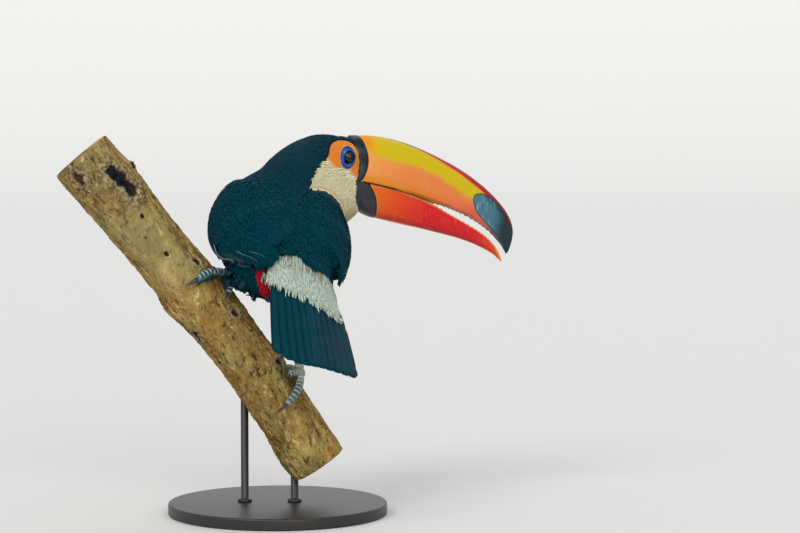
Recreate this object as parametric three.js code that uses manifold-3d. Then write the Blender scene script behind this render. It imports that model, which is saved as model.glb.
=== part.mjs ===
// A toco toucan on a slanting branch, as a life-size display model.
// Millimetres, +Z up. The origin is the middle of the stand's underside. The bird's back is towards -Y,
// its bill points to +X, and the branch runs down from -X to +X in the plane Y = 0.
import * as THREE from "three";
import { mergeVertices } from "three/addons/utils/BufferGeometryUtils.js";
import Module from "manifold-3d";

const wasm = await Module();
wasm.setup();

// ---- Driving dimensions ----
const GAP = 0.35; // clear space between two solids that touch
const EDGE = 0.8; // thinnest edge of a wing, tail or covert plate

const BODY = { at: [2, 8, 272], heading: 104, pitch: 38, roll: 9 };
const HEAD = { at: [76, 69, 331.5], heading: 20, pitch: -17, roll: 0 };
const TAIL = { at: [21, -54, 255], heading: 103, pitch: 44, roll: 19 };

const EYE = { at: [-19.5, 19.2, 20], radius: 8 };
const TAIL_LENGTH = 131;
const TAIL_HALF_WIDTH = { root: 29.5, end: 44.5 };
const TAIL_SHIFT = { root: 6.5, end: 2.5 }; // how far its middle lies to the right
const TAIL_ARCH = 7; // how far the tail's edges hang below its middle
const TAIL_GRADUATION = { left: 19, right: 3 }; // how much shorter the outer feathers are

const BRANCH_RADIUS = 29;
const TOE_RADIUS = 4.1;
const CLAW_LENGTH = 12;

const BASE = { radius: 110, height: 12, chamfer: 1.5 };
const ROD_RADIUS = 4;
const ROD_X = { low: 17, high: -33 };

const COLOURS = {
  black: 0x10141a,
  cream: 0xe4dcc0,
  white: 0xe6e2d2,
  red: 0xb5121f,
  orange: 0xf08a1d,
  scarlet: 0xe0401f,
  eye: 0x0b0b0d,
  toe: 0x4f7184,
  claw: 0x1c1a1d,
  bark: 0x94764a,
  steel: 0x2c2d30,
};

// ---- Vectors and frames ----
const vec = (x = 0, y = 0, z = 0) => new THREE.Vector3(x, y, z);
const radians = THREE.MathUtils.degToRad;
const mix = THREE.MathUtils.lerp;

// A frame with x forward, y to the bird's left and z up. Heading is counterclockwise from +X, pitch is
// nose up and roll is right side down, in degrees.
function frameOf({ at, heading, pitch, roll }) {
  const turn = new THREE.Matrix4()
    .makeRotationZ(radians(heading))
    .multiply(new THREE.Matrix4().makeRotationY(radians(-pitch)))
    .multiply(new THREE.Matrix4().makeRotationX(radians(roll)));
  return new THREE.Matrix4().makeTranslation(...at).multiply(turn);
}

const bodyFrame = frameOf(BODY);
const headFrame = frameOf(HEAD);
const tailFrame = frameOf(TAIL);
const inFrame = (frame, x, y, z) => vec(x, y, z).applyMatrix4(frame);
const alongFrame = (frame, x, y, z) => vec(x, y, z).transformDirection(frame);

// Rows of numbers as one smooth function of 0 to 1 that gives a row.
function smoothRows(rows) {
  const width = rows[0].length;
  const curves = [];
  for (let first = 0; first < width; first += 3) {
    const points = rows.map((row) => vec(row[first], row[first + 1] ?? 0, row[first + 2] ?? 0));
    curves.push(new THREE.CatmullRomCurve3(points));
  }
  return (t) => curves.flatMap((curve) => curve.getPoint(t).toArray()).slice(0, width);
}

// ---- Geometry ----
// A closed surface from rings of equal length. Each end closes on the middle of its ring.
function ringsToGeometry(rings) {
  const count = rings[0].length;
  const positions = rings.flat().flatMap((p) => p.toArray());
  const middle = (ring) => ring.reduce((sum, p) => sum.add(p), vec(0, 0, 0)).divideScalar(count);
  const tail = positions.length / 3;
  positions.push(...middle(rings[0]).toArray(), ...middle(rings.at(-1)).toArray());
  const index = [];
  for (let j = 0; j < count; j++) {
    const k = (j + 1) % count;
    for (let i = 0; i + 1 < rings.length; i++) {
      const [a, b, c, d] = [i * count + j, i * count + k, (i + 1) * count + j, (i + 1) * count + k];
      index.push(a, b, c, b, d, c);
    }
    const last = (rings.length - 1) * count;
    index.push(k, j, tail, last + j, last + k, tail + 1);
  }
  const geometry = new THREE.BufferGeometry();
  geometry.setAttribute("position", new THREE.Float32BufferAttribute(positions, 3));
  geometry.setIndex(index);
  return geometry;
}

// A geometry with its doubled vertices joined.
function welded(geometry) {
  const bare = geometry.clone();
  bare.deleteAttribute("normal");
  bare.deleteAttribute("uv");
  return mergeVertices(bare, 1e-4);
}

// The same shape, larger by the gap all over.
function swollen(geometry) {
  const larger = welded(geometry);
  larger.computeVertexNormals();
  const { position, normal } = larger.attributes;
  const outwards = facing(larger);
  for (let i = 0; i < position.count; i++) {
    const at = vec().fromBufferAttribute(position, i);
    at.addScaledVector(vec().fromBufferAttribute(normal, i), GAP * outwards);
    position.setXYZ(i, at.x, at.y, at.z);
  }
  return larger;
}

// 1 if a closed geometry's faces point outwards, or -1 if they point inwards.
function facing(geometry) {
  const { position } = geometry.attributes;
  const index = geometry.index.array;
  const [a, b, c] = [vec(), vec(), vec()];
  let volume = 0;
  for (let i = 0; i < index.length; i += 3) {
    a.fromBufferAttribute(position, index[i]);
    b.fromBufferAttribute(position, index[i + 1]);
    c.fromBufferAttribute(position, index[i + 2]);
    volume += a.dot(b.cross(c));
  }
  return Math.sign(volume);
}

// Makes a closed geometry a solid, with its faces turned outwards.
function solidOf(geometry) {
  const merged = welded(geometry);
  const triVerts = new Uint32Array(merged.index.array);
  if (facing(merged) < 0) triVerts.reverse();
  const vertProperties = merged.attributes.position.array;
  return new wasm.Manifold(new wasm.Mesh({ numProp: 3, vertProperties, triVerts }));
}

function geometryOf(solid) {
  const mesh = solid.getMesh();
  const geometry = new THREE.BufferGeometry();
  geometry.setAttribute("position", new THREE.BufferAttribute(mesh.vertProperties, mesh.numProp));
  geometry.setIndex(new THREE.BufferAttribute(mesh.triVerts, 1));
  return geometry;
}

// The largest body of a solid, so that no crumb of a cut stays.
const largest = (solid) => solid.decompose().sort((a, b) => b.volume() - a.volume())[0];

const power = (value, exponent) => Math.sign(value) * Math.abs(value) ** exponent;

// A ring in the plane through two points of the middle plane, y = 0: from low to high, and as far as
// the half width to each side. Square above 2 makes it boxier.
function sagittalRing([topX, topZ, lowX, lowZ, halfWidth], sides, square) {
  const high = vec(topX, 0, topZ);
  const low = vec(lowX, 0, lowZ);
  const middle = low.clone().lerp(high, 0.5);
  return Array.from({ length: sides }, (_, i) => {
    const angle = (2 * Math.PI * i) / sides;
    const across = power(Math.cos(angle), 2 / square) * halfWidth;
    const rise = power(Math.sin(angle), 2 / square);
    return middle.clone().lerp(high, rise).add(vec(0, across, 0));
  });
}

// A round tube along a curve. radiusAt gives its radius from 0 to 1.
function tube(curve, radiusAt, steps, sides) {
  const frames = curve.computeFrenetFrames(steps);
  const rings = Array.from({ length: steps + 1 }, (_, i) => {
    const centre = curve.getPointAt(i / steps);
    const radius = radiusAt(i / steps);
    return Array.from({ length: sides }, (__, j) => {
      const angle = (2 * Math.PI * j) / sides;
      return centre
        .clone()
        .addScaledVector(frames.normals[i], Math.cos(angle) * radius)
        .addScaledVector(frames.binormals[i], Math.sin(angle) * radius);
    });
  });
  return ringsToGeometry(rings);
}

// A closed plate over a grid: outer(i, j) and inner(i, j) give its two faces, for whole i and j.
function plate(outer, inner, across, along) {
  const rings = [];
  for (let i = 0; i <= along; i++) {
    const ring = [];
    for (let j = 0; j <= across; j++) ring.push(outer(i / along, j / across));
    for (let j = across; j >= 0; j--) ring.push(inner(i / along, j / across));
    rings.push(ring);
  }
  return ringsToGeometry(rings);
}

// A half of all space: what lies ahead of a point, in the direction of its normal.
function ahead(point, normal) {
  const size = 600;
  const box = new THREE.BoxGeometry(size, size, size).translate(0, 0, size / 2);
  const turn = new THREE.Quaternion().setFromUnitVectors(vec(0, 0, 1), normal.clone().normalize());
  return solidOf(box.applyQuaternion(turn).translate(...point.toArray()));
}

// Cuts a solid in two with a thin gap: [what is ahead of the plane, what is behind it].
function parted(solid, point, normal) {
  const half = normal.clone().normalize().multiplyScalar(GAP / 2);
  return [
    solid.intersect(ahead(point.clone().add(half), normal)),
    solid.intersect(ahead(point.clone().sub(half), normal.clone().negate())),
  ];
}

// ---- Trunk, neck and head ----
// Trunk rows, in the body's frame: station, middle's height, half width, height above, depth below.
const TRUNK_ROWS = [
  [-90, 15, 5, 3, 3],
  [-84, 14, 19, 11, 12],
  [-70, 11, 34, 23, 28],
  [-48, 6, 49, 36, 43],
  [-20, 1, 60, 46, 53],
  [12, -1, 62, 49, 57],
  [42, 0, 57, 42, 52],
  [66, 4, 44, 30, 41],
  [82, 8, 27, 20, 25],
  [88, 10, 6, 5, 5],
];

// Head and neck rows, in the head's frame, whose origin is the corner of the mouth, in the middle:
// the highest point's x and z, the lowest point's x and z, and the half width.
const HEAD_ROWS = [
  [-17, 42, 14, -27.5, 23.2],
  [-31, 39.6, 5, -43, 26.5],
  [-47, 36.8, -12, -58, 30.5],
  [-63, 28.5, -33, -70, 36],
  [-78, 14.5, -55, -78, 41],
  [-90, -3, -72, -80, 42],
  [-98, -20, -84, -74, 32],
];

function trunkGeometry() {
  const at = smoothRows(TRUNK_ROWS);
  const steps = 14;
  const sides = 20;
  const rings = Array.from({ length: steps + 1 }, (_, i) => {
    const [x, middle, width, above, below] = at(i / steps);
    return Array.from({ length: sides }, (__, j) => {
      const angle = (2 * Math.PI * j) / sides;
      const height = Math.sin(angle) > 0 ? above : below;
      return vec(x, Math.cos(angle) * width, middle + Math.sin(angle) * height);
    });
  });
  return ringsToGeometry(rings).applyMatrix4(bodyFrame);
}

function headGeometry() {
  const at = smoothRows(HEAD_ROWS);
  const steps = 11;
  const rings = Array.from({ length: steps + 1 }, (_, i) => sagittalRing(at(i / steps), 20, 2.15));
  return ringsToGeometry(rings).applyMatrix4(headFrame);
}

// Where the flesh is parted, in the head's frame: a point of each cut, and the way towards the head.
const CUTS = [
  { at: [-43, 0, -6], way: [0.85, 0, 0.52] },
  { at: [-61, 0, -36], way: [0.55, 0, 0.835] },
];

// ---- Bill ----
// Upper rows: the ridge's x and z, the cutting edge's x and z, and the half width.
const UPPER_ROWS = [
  [-19, 43, -5, 0.5, 24],
  [3, 50, 17, 2.8, 23.5],
  [27, 53, 38, 3.8, 22],
  [54, 52.5, 62, 4, 20],
  [82, 49, 87, 3, 17.5],
  [108, 44, 110, 2, 14.8],
  [132, 36.5, 131, 0, 12],
  [152, 27.5, 148, -4.5, 9.2],
  [169, 17, 160, -9, 6.8],
  [180, 6, 170, -15, 4.6],
  [185.5, -7, 177, -20, 2.6],
  [185, -23, 183, -26.5, 0.6],
];
// Lower rows: the cutting edge's x and z, the keel's x and z, and the half width.
const LOWER_ROWS = [
  [-8, -1.4, 6, -24.5, 24],
  [18, 1.2, 28, -29, 21],
  [44, 2.2, 52, -29, 18.6],
  [70, 1.2, 76, -27, 16],
  [94, -2, 100, -25.8, 13.2],
  [118, -6.5, 122, -25.4, 10.4],
  [140, -11, 143, -26.2, 7.6],
  [155, -15.5, 156, -28, 5.4],
  [167, -21.5, 168, -30.5, 3.4],
  [175, -27.5, 175, -33.2, 1.8],
  [180.3, -34, 179.6, -35.6, 0.5],
];

// Half an oval standing on a nearly flat cutting face. rows are as above, bow is how far that face is
// hollowed, as a share of the half width, and bulge is how far the sides of the base reach forward.
function mandible(rows, ridgeFirst, { steps, arcSides, faceSides, square, bow, bulge }) {
  const at = smoothRows(rows);
  const rings = Array.from({ length: steps + 1 }, (_, i) => {
    const [ax, az, bx, bz, width] = at(i / steps);
    const [ridge, edge] = ridgeFirst ? [vec(ax, 0, az), vec(bx, 0, bz)] : [vec(bx, 0, bz), vec(ax, 0, az)];
    const rise = ridge.clone().sub(edge);
    const ring = [];
    for (let j = 0; j <= arcSides; j++) {
      const angle = (Math.PI * j) / arcSides;
      const share = power(Math.sin(angle), 2 / square);
      const across = power(Math.cos(angle), 2 / square) * width;
      const forward = bulge * (1 - i / steps) ** 2 * 4 * share * (1 - share);
      ring.push(edge.clone().addScaledVector(rise, share).add(vec(forward, across, 0)));
    }
    for (let j = 1; j < faceSides; j++) {
      const side = -1 + (2 * j) / faceSides;
      const hollow = (bow * width * (1 - side * side)) / Math.max(rise.length(), 1);
      ring.push(edge.clone().addScaledVector(rise, hollow).add(vec(0, side * width, 0)));
    }
    return ring;
  });
  return ringsToGeometry(rings).applyMatrix4(headFrame);
}

const upperBill = () =>
  mandible(UPPER_ROWS, true, { steps: 20, arcSides: 12, faceSides: 2, square: 2.05, bow: 0.18, bulge: 4.5 });
const lowerBill = () =>
  mandible(LOWER_ROWS, false, { steps: 16, arcSides: 10, faceSides: 2, square: 2.2, bow: 0.18, bulge: -5 });

// ---- Eyes ----
const eyeBall = (side) =>
  new THREE.SphereGeometry(EYE.radius, 12, 7)
    .translate(EYE.at[0], side * EYE.at[1], EYE.at[2])
    .applyMatrix4(headFrame);

// ---- Wings ----
// The bed that a folded wing lies on, in the body's frame: station, middle's height, half width, height.
const WING_BED_ROWS = [
  [64, 6, 49, 40],
  [42, 1, 60, 49],
  [18, -1, 65, 52],
  [-8, -1, 65, 51],
  [-34, 1, 60, 46],
  [-56, 4, 52, 40],
  [-72, 5, 45, 34],
  [-84, 4, 40, 28],
];
// Each wing: its share of the bed's length and, from the shoulder to the tip, the upper edge's and
// the lower edge's angle from the middle of the back, in degrees, and the thickness.
const WINGS = {
  left: {
    share: 0.85,
    rows: [
      [62, 84, 1.2],
      [38, 103, 3.5],
      [20, 114, 5.2],
      [9, 117, 6.4],
      [4, 114, 6.8],
      [4, 106, 6.6],
      [8, 96, 5.8],
      [18, 85, 4.6],
      [32, 72, 3.2],
      [46, 58, 1.8],
    ],
  },
  right: {
    share: 0.79,
    rows: [
      [72, 86, 1.2],
      [50, 103, 3.8],
      [31, 112, 6.5],
      [15, 115, 8],
      [6, 114, 8.6],
      [6, 111, 8],
      [12, 107, 6.8],
      [28, 102, 5],
      [52, 96, 3.3],
      [74, 88, 1.8],
    ],
  },
};

function wingGeometry(name) {
  const side = name === "left" ? 1 : -1;
  const bed = smoothRows(WING_BED_ROWS);
  const form = smoothRows(WINGS[name].rows);
  const over = (u, v, lift) => {
    const [x, middle, width, height] = bed(u * WINGS[name].share);
    const [upper, lower] = form(u);
    const angle = radians(mix(upper, lower, v));
    return vec(
      x,
      side * Math.sin(angle) * (width + lift),
      middle + Math.cos(angle) * (height + lift),
    );
  };
  const crown = (v) => Math.sqrt(Math.max(0, 1 - (2 * v - 1) ** 2));
  return plate(
    (u, v) => over(u, v, GAP + EDGE + form(u)[2] * crown(v)),
    (u, v) => over(u, v, GAP),
    8,
    12,
  ).applyMatrix4(bodyFrame);
}

// ---- Tail and its coverts ----
// An arched plate in a frame whose -x runs along the tail. reach(side) is how far the plate reaches,
// for side from -1, its left edge, to 1. The plate's middle is moved to the right by shift(u).
function tailPlate({ start, reach, halfWidth, shift = () => 0, height, arch, thickness, along }) {
  const across = 8;
  const surface = (u, v, lift) => {
    const side = 2 * v - 1;
    const x = -mix(start, reach(side), u);
    const thin = 1 - 0.75 * side * side;
    const y = -side * halfWidth(u) - shift(u);
    return vec(x, y, height(u) - arch(u) * side * side + lift * thin);
  };
  const thick = (u) => EDGE + (thickness - EDGE) * (1 - u) ** 0.7;
  return plate(
    (u, v) => surface(u, v, thick(u) / 2),
    (u, v) => surface(u, v, -thick(u) / 2),
    across,
    along,
  ).applyMatrix4(tailFrame);
}

const tailFeathers = () =>
  tailPlate({
    start: 6,
    reach: (side) => {
      const graduation = side < 0 ? TAIL_GRADUATION.left : TAIL_GRADUATION.right;
      return TAIL_LENGTH - graduation * Math.abs(side) ** 3.5;
    },
    halfWidth: (u) => mix(TAIL_HALF_WIDTH.root, TAIL_HALF_WIDTH.end, u ** 0.65),
    shift: (u) => mix(TAIL_SHIFT.root, TAIL_SHIFT.end, u),
    height: () => 0,
    arch: () => TAIL_ARCH,
    thickness: 5,
    along: 5,
  });

const upperCoverts = () =>
  tailPlate({
    start: -2,
    reach: (side) => 46 + 17 * side - 2 * side ** 2,
    halfWidth: (u) => mix(34, 39, u),
    shift: () => 3.5,
    height: (u) => mix(17, 4.5, u ** 0.8),
    arch: (u) => mix(15, 8, u),
    thickness: 9,
    along: 5,
  });

const lowerCoverts = () =>
  tailPlate({
    start: -16,
    reach: (side) => 58 - 18 * side ** 2,
    halfWidth: (u) => mix(44, 34, u ** 2),
    height: (u) => mix(-21, -10, u),
    arch: (u) => mix(-11, 4, u),
    thickness: 16,
    along: 5,
  });

// ---- Branch ----
// Its middle line from the upper cut end to the lower one, and its radius along the way.
const BRANCH_LINE = new THREE.CatmullRomCurve3([
  vec(-196, 0, 360),
  vec(-156, 0, 313),
  vec(-103, 0, 248),
  vec(-50, 0, 183),
  vec(-8, 0, 124),
  vec(43, 0, 49),
]);
const branchRadius = (t) => BRANCH_RADIUS + 3.5 * (1 - t) ** 2 + 0.8 * Math.sin(17 * t);

// Knots: how far along, the angle round from the upper side towards -Y, their size and their height.
const KNOTS = [
  { along: 0.13, angle: 42, spread: 17, height: 8 },
  { along: 0.465, angle: 172, spread: 11, height: 7 },
  { along: 0.69, angle: 28, spread: 13, height: 8 },
  { along: 0.93, angle: 182, spread: 12, height: 9 },
];
const BRANCH_LENGTH = BRANCH_LINE.getLength();

// The branch's own directions at a place along it: ahead, out on its upper side, and towards -Y.
function branchAxes(t) {
  const aheadOf = BRANCH_LINE.getTangentAt(t);
  const near = vec(0, -1, 0);
  return { aheadOf, near, up: vec(-aheadOf.z, 0, aheadOf.x) };
}

function knotRise(t, angle) {
  return KNOTS.reduce((sum, knot) => {
    const radius = branchRadius(knot.along);
    const round = Math.atan2(Math.sin(angle - radians(knot.angle)), Math.cos(angle - radians(knot.angle)));
    const away = Math.hypot((t - knot.along) * BRANCH_LENGTH, round * radius) / knot.spread;
    return sum + knot.height * Math.exp(-away * away);
  }, 0);
}

// A point off the branch's surface: t along, angle round from the upper side towards -Y.
function onBranch(t, angle, lift) {
  const { near, up } = branchAxes(t);
  const radius = branchRadius(t) + knotRise(t, angle) + lift;
  return BRANCH_LINE.getPointAt(t)
    .addScaledVector(up, Math.cos(angle) * radius)
    .addScaledVector(near, Math.sin(angle) * radius);
}

function branchGeometry() {
  const steps = 20;
  const sides = 13;
  const rings = Array.from({ length: steps + 1 }, (_, i) =>
    Array.from({ length: sides }, (__, j) => onBranch(i / steps, (2 * Math.PI * j) / sides, 0)),
  );
  return ringsToGeometry(rings);
}

// ---- Legs and feet ----
// Where each foot's toes meet, as a share of the branch, with its toes. A toe runs round the branch
// towards -Y (round 1) or +Y (round -1), with an arc length, and drifts along the branch.
const FEET = {
  left: {
    along: 0.47,
    toes: [
      { name: "1", round: 1, length: 22, drift: 17, radius: 0.84 },
      { name: "2", round: -1, length: 27, drift: 13, radius: 0.9 },
      { name: "3", round: -1, length: 41, drift: -7, radius: 1 },
      { name: "4", round: 1, length: 40, drift: -17, radius: 1 },
    ],
  },
  right: {
    along: 0.775,
    toes: [
      { name: "1", round: 1, length: 20, drift: -7, radius: 0.84 },
      { name: "2", round: -1, length: 27, drift: -13, radius: 0.9 },
      { name: "3", round: -1, length: 41, drift: 6, radius: 1 },
      { name: "4", round: 1, length: 43, drift: 17, radius: 1 },
    ],
  },
};
const TOE_START = 5; // where a toe leaves the pad, along its arc
const PAD_RADIUS = 6.5;

// A toe's line from one arc length to another, a set height off the bark.
function toeLine(foot, toe, from, to, lift) {
  const radius = branchRadius(foot.along) + TOE_RADIUS;
  const count = 7;
  const points = Array.from({ length: count }, (_, i) => {
    const arc = mix(from, to, i / (count - 1));
    const share = arc / (toe.length + CLAW_LENGTH);
    const drift = toe.drift * Math.sin((share * Math.PI) / 2);
    return onBranch(foot.along + drift / BRANCH_LENGTH, (toe.round * arc) / radius, lift(arc));
  });
  return new THREE.CatmullRomCurve3(points);
}

const footTop = (foot) => onBranch(foot.along, 0, TOE_RADIUS + 1.2);

function toeGeometry(foot, toe) {
  const thick = TOE_RADIUS * toe.radius;
  const line = toeLine(foot, toe, TOE_START, toe.length, () => thick + 0.5);
  const knuckle = (t) => 0.06 * Math.cos(t * Math.PI * 6);
  return tube(line, (t) => thick * (1 - 0.3 * t + knuckle(t)), 5, 6);
}

function clawGeometry(foot, toe) {
  const thick = TOE_RADIUS * toe.radius * 0.62;
  const end = toe.length + CLAW_LENGTH;
  const hump = (arc) => Math.sin(((arc - toe.length) / CLAW_LENGTH) * Math.PI);
  const line = toeLine(foot, toe, toe.length + GAP, end, (arc) => thick + 0.8 + 1.6 * hump(arc));
  return tube(line, (t) => thick * (1 - 0.82 * t ** 1.2), 4, 5);
}

const padGeometry = (foot) => new THREE.SphereGeometry(PAD_RADIUS, 9, 6).translate(...footTop(foot).toArray());

// The feathered leg from inside the trunk to the heel, and the bare leg from there to the foot.
const THIGHS = {
  left: { line: [vec(-14, 4, 258), vec(-24, -14, 244), vec(-33, -28, 232)], radii: [25, 19, 9] },
  right: { line: [vec(10, -2, 240), vec(14, -8, 214), vec(19, -15, 188)], radii: [27, 20, 8] },
};
const SHANK_RADIUS = 4.4;

function thighGeometry({ line, radii }) {
  const radiusAt = smoothRows(radii.map((radius) => [radius]));
  return tube(new THREE.CatmullRomCurve3(line), (t) => radiusAt(t)[0], 5, 12);
}

function shankGeometry(foot, { line }) {
  const heel = line.at(-1).clone().lerp(line.at(-2), 0.15);
  const toes = footTop(foot);
  const middle = heel.clone().lerp(toes, 0.5).add(vec(1, -2, 0));
  const waist = (t) => SHANK_RADIUS * (1 + 0.22 * (2 * t - 1) ** 2);
  return tube(new THREE.CatmullRomCurve3([heel, middle, toes]), waist, 5, 8);
}

// ---- Stand ----
function baseGeometry() {
  const { radius, height, chamfer } = BASE;
  const profile = [
    new THREE.Vector2(0, 0),
    new THREE.Vector2(radius - chamfer, 0),
    new THREE.Vector2(radius, chamfer),
    new THREE.Vector2(radius, height - chamfer),
    new THREE.Vector2(radius - chamfer, height),
    new THREE.Vector2(0, height),
  ];
  return new THREE.LatheGeometry(profile, 40).rotateX(Math.PI / 2);
}

// A vertical rod from the base into the branch, which then cuts it off.
function rodGeometry(x) {
  const low = BASE.height + GAP;
  const middle = BRANCH_LINE.getPoints(200).sort((a, b) => Math.abs(a.x - x) - Math.abs(b.x - x))[0].z;
  return new THREE.CylinderGeometry(ROD_RADIUS, ROD_RADIUS, middle - low, 14)
    .rotateX(Math.PI / 2)
    .translate(x, 0, (middle + low) / 2);
}

// ---- The model ----
const toucan = new THREE.Group();
const placed = []; // what later pieces keep clear of

function add(name, solid, color, roughness = 0.6, metalness = 0) {
  const clear = placed.reduce((rest, other) => rest.subtract(other), solid);
  const material = new THREE.MeshStandardMaterial({ color, roughness, metalness });
  const mesh = new THREE.Mesh(geometryOf(largest(clear)), material);
  mesh.name = name;
  toucan.add(mesh);
}

// Adds a shape, cut clear of the earlier ones, and keeps later ones a gap away from it.
function place(name, geometry, color, roughness, metalness) {
  add(name, solidOf(geometry), color, roughness, metalness);
  keepClearOf(geometry);
}

function keepClearOf(geometry) {
  placed.push(solidOf(geometry).add(solidOf(swollen(geometry))));
}

function placeStandAndPerch() {
  place("perch", branchGeometry(), COLOURS.bark, 0.9);
  place("stand_base", baseGeometry(), COLOURS.steel, 0.5);
  for (const [name, x] of Object.entries(ROD_X)) {
    place(`stand_rod_${name}`, rodGeometry(x), COLOURS.steel, 0.4, 1);
  }
}

function placeLeg(side) {
  const foot = FEET[side];
  place(`foot_${side}`, padGeometry(foot), COLOURS.toe);
  for (const toe of foot.toes) {
    place(`toe_${side}_${toe.name}`, toeGeometry(foot, toe), COLOURS.toe);
    place(`claw_${side}_${toe.name}`, clawGeometry(foot, toe), COLOURS.claw, 0.35);
  }
  place(`shank_${side}`, shankGeometry(foot, THIGHS[side]), COLOURS.toe);
  place(`thigh_${side}`, thighGeometry(THIGHS[side]), COLOURS.black, 0.9);
}

function placeFace() {
  place("eye_left", eyeBall(1), COLOURS.eye, 0.1);
  place("eye_right", eyeBall(-1), COLOURS.eye, 0.1);
  place("bill_upper", upperBill(), COLOURS.orange, 0.35);
  place("bill_lower", lowerBill(), COLOURS.scarlet, 0.35);
}

// Head, neck and trunk are one form, parted by thin cuts behind the head and at the shoulders.
function placeFlesh() {
  const whole = solidOf(trunkGeometry()).add(solidOf(headGeometry()));
  const cuts = CUTS.map(({ at, way }) => [inFrame(headFrame, ...at), alongFrame(headFrame, ...way)]);
  const [head, behindHead] = parted(whole, ...cuts[0]);
  const [neck, trunk] = parted(behindHead, ...cuts[1]);
  add("head", head, COLOURS.cream, 0.9);
  add("neck", neck, COLOURS.black, 0.9);
  add("trunk", trunk, COLOURS.black, 0.9);
  keepClearOf(trunkGeometry());
  keepClearOf(headGeometry());
}

placeStandAndPerch();
placeLeg("left");
placeLeg("right");
placeFace();
placeFlesh();
place("wing_left", wingGeometry("left"), COLOURS.black, 0.8);
place("wing_right", wingGeometry("right"), COLOURS.black, 0.8);
place("tail", tailFeathers(), COLOURS.black, 0.8);
place("tail_coverts_upper", upperCoverts(), COLOURS.white, 0.9);
place("tail_coverts_lower", lowerCoverts(), COLOURS.red, 0.9);

export default toucan;
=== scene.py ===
"""A toco toucan on a cut branch and a plain stand: the looks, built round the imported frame.

Lengths are in millimetres in this script and become metres when a mesh is made.
"""

import bmesh
import bpy
import numpy as np
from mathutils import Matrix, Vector, noise
from mathutils.bvhtree import BVHTree
from mathutils.kdtree import KDTree


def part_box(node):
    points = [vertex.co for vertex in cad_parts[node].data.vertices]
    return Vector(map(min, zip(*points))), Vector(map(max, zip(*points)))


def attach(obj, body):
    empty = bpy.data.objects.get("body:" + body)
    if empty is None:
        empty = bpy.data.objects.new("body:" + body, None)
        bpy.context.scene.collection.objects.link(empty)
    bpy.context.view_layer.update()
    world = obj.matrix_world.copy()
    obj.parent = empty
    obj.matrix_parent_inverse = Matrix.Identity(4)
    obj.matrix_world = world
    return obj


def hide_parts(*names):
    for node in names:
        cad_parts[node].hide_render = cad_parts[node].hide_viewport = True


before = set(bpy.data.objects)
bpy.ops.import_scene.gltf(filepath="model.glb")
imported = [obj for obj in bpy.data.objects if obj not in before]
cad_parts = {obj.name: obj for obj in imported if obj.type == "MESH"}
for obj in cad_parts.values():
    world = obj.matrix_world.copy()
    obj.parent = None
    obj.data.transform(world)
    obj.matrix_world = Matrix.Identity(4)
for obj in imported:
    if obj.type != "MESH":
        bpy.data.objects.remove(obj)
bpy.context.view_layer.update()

MM = 0.001
rng = np.random.default_rng(11)


# ---- Frames of the body, the head and the tail ----
class Axes:
    """A turned frame: x forward, y to the left and z up, before heading, pitch and roll."""

    def __init__(self, at, heading, pitch, roll):
        h, p, r = np.radians([heading, pitch, roll])
        about_z = np.array([[np.cos(h), -np.sin(h), 0], [np.sin(h), np.cos(h), 0], [0, 0, 1]])
        about_y = np.array([[np.cos(p), 0, -np.sin(p)], [0, 1, 0], [np.sin(p), 0, np.cos(p)]])
        about_x = np.array([[1, 0, 0], [0, np.cos(r), -np.sin(r)], [0, np.sin(r), np.cos(r)]])
        self.at = np.array(at, float)
        self.turn = about_z @ about_y @ about_x

    def local(self, points):
        """Points in the frame's own axes."""
        return (np.asarray(points, float) - self.at) @ self.turn

    def world(self, points):
        """Points given in the frame's own axes, in the scene's."""
        return np.asarray(points, float) @ self.turn.T + self.at

    def way(self, x, y, z):
        """A direction given in the frame's own axes, in the scene's."""
        return self.turn @ np.array([x, y, z], float)


BODY = Axes((2, 8, 272), 104, 38, 9)
HEAD = Axes((76, 69, 331.5), 20, -17, 0)  # at the corner of the mouth
TAIL = Axes((21, -54, 255), 103, 44, 19)  # at the tail's root, with the tail along -x

EYE_RADII = (8.4, 11.9)  # the blue ring's half width and half height
LID_RADII = (4.8, 6.5)  # the opening between the lids
COAT_DEPTH = {"face": 0.5, "head": 1.8, "body": 3.2}
FAR_OUT = -20.0  # a marking's value where it has no place at all


# ---- Meshes and arrays ----
def mm_verts(mesh):
    """A mesh's vertices in millimetres."""
    flat = np.empty(len(mesh.vertices) * 3)
    mesh.vertices.foreach_get("co", flat)
    return flat.reshape(-1, 3) / MM


def node_arrays(name):
    """A CAD node's vertices in millimetres and its triangles, welded."""
    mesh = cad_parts[name].data
    work = bmesh.new()
    work.from_mesh(mesh)
    bmesh.ops.remove_doubles(work, verts=work.verts, dist=1e-6)
    work.verts.index_update()
    verts = np.array([v.co for v in work.verts]) / MM
    faces = np.array([[v.index for v in f.verts] for f in work.faces])
    work.free()
    return verts, faces


def new_piece(name, verts, faces, smooth=True):
    """An object from millimetre vertices; faces is an array or a list of vertex lists."""
    mesh = bpy.data.meshes.new(name)
    rows = faces.tolist() if isinstance(faces, np.ndarray) else faces
    mesh.from_pydata((np.asarray(verts) * MM).tolist(), [], rows)
    mesh.polygons.foreach_set("use_smooth", np.full(len(mesh.polygons), smooth))
    mesh.update()
    piece = bpy.data.objects.new(name, mesh)
    bpy.context.scene.collection.objects.link(piece)
    return piece


def set_attributes(piece, **table):
    """One number for each vertex, by name, for the material to read."""
    for name, values in table.items():
        layer = piece.data.attributes.new(name, "FLOAT", "POINT")
        layer.data.foreach_set("value", np.asarray(values, np.float32))


def set_corner_map(piece, name, per_vertex):
    """A UV map from one (u, v) for each vertex."""
    layer = piece.data.uv_layers.new(name=name)
    corner = np.empty(len(piece.data.loops), np.int64)
    piece.data.loops.foreach_get("vertex_index", corner)
    layer.data.foreach_set("uv", per_vertex[corner].astype(np.float32).ravel())


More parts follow.
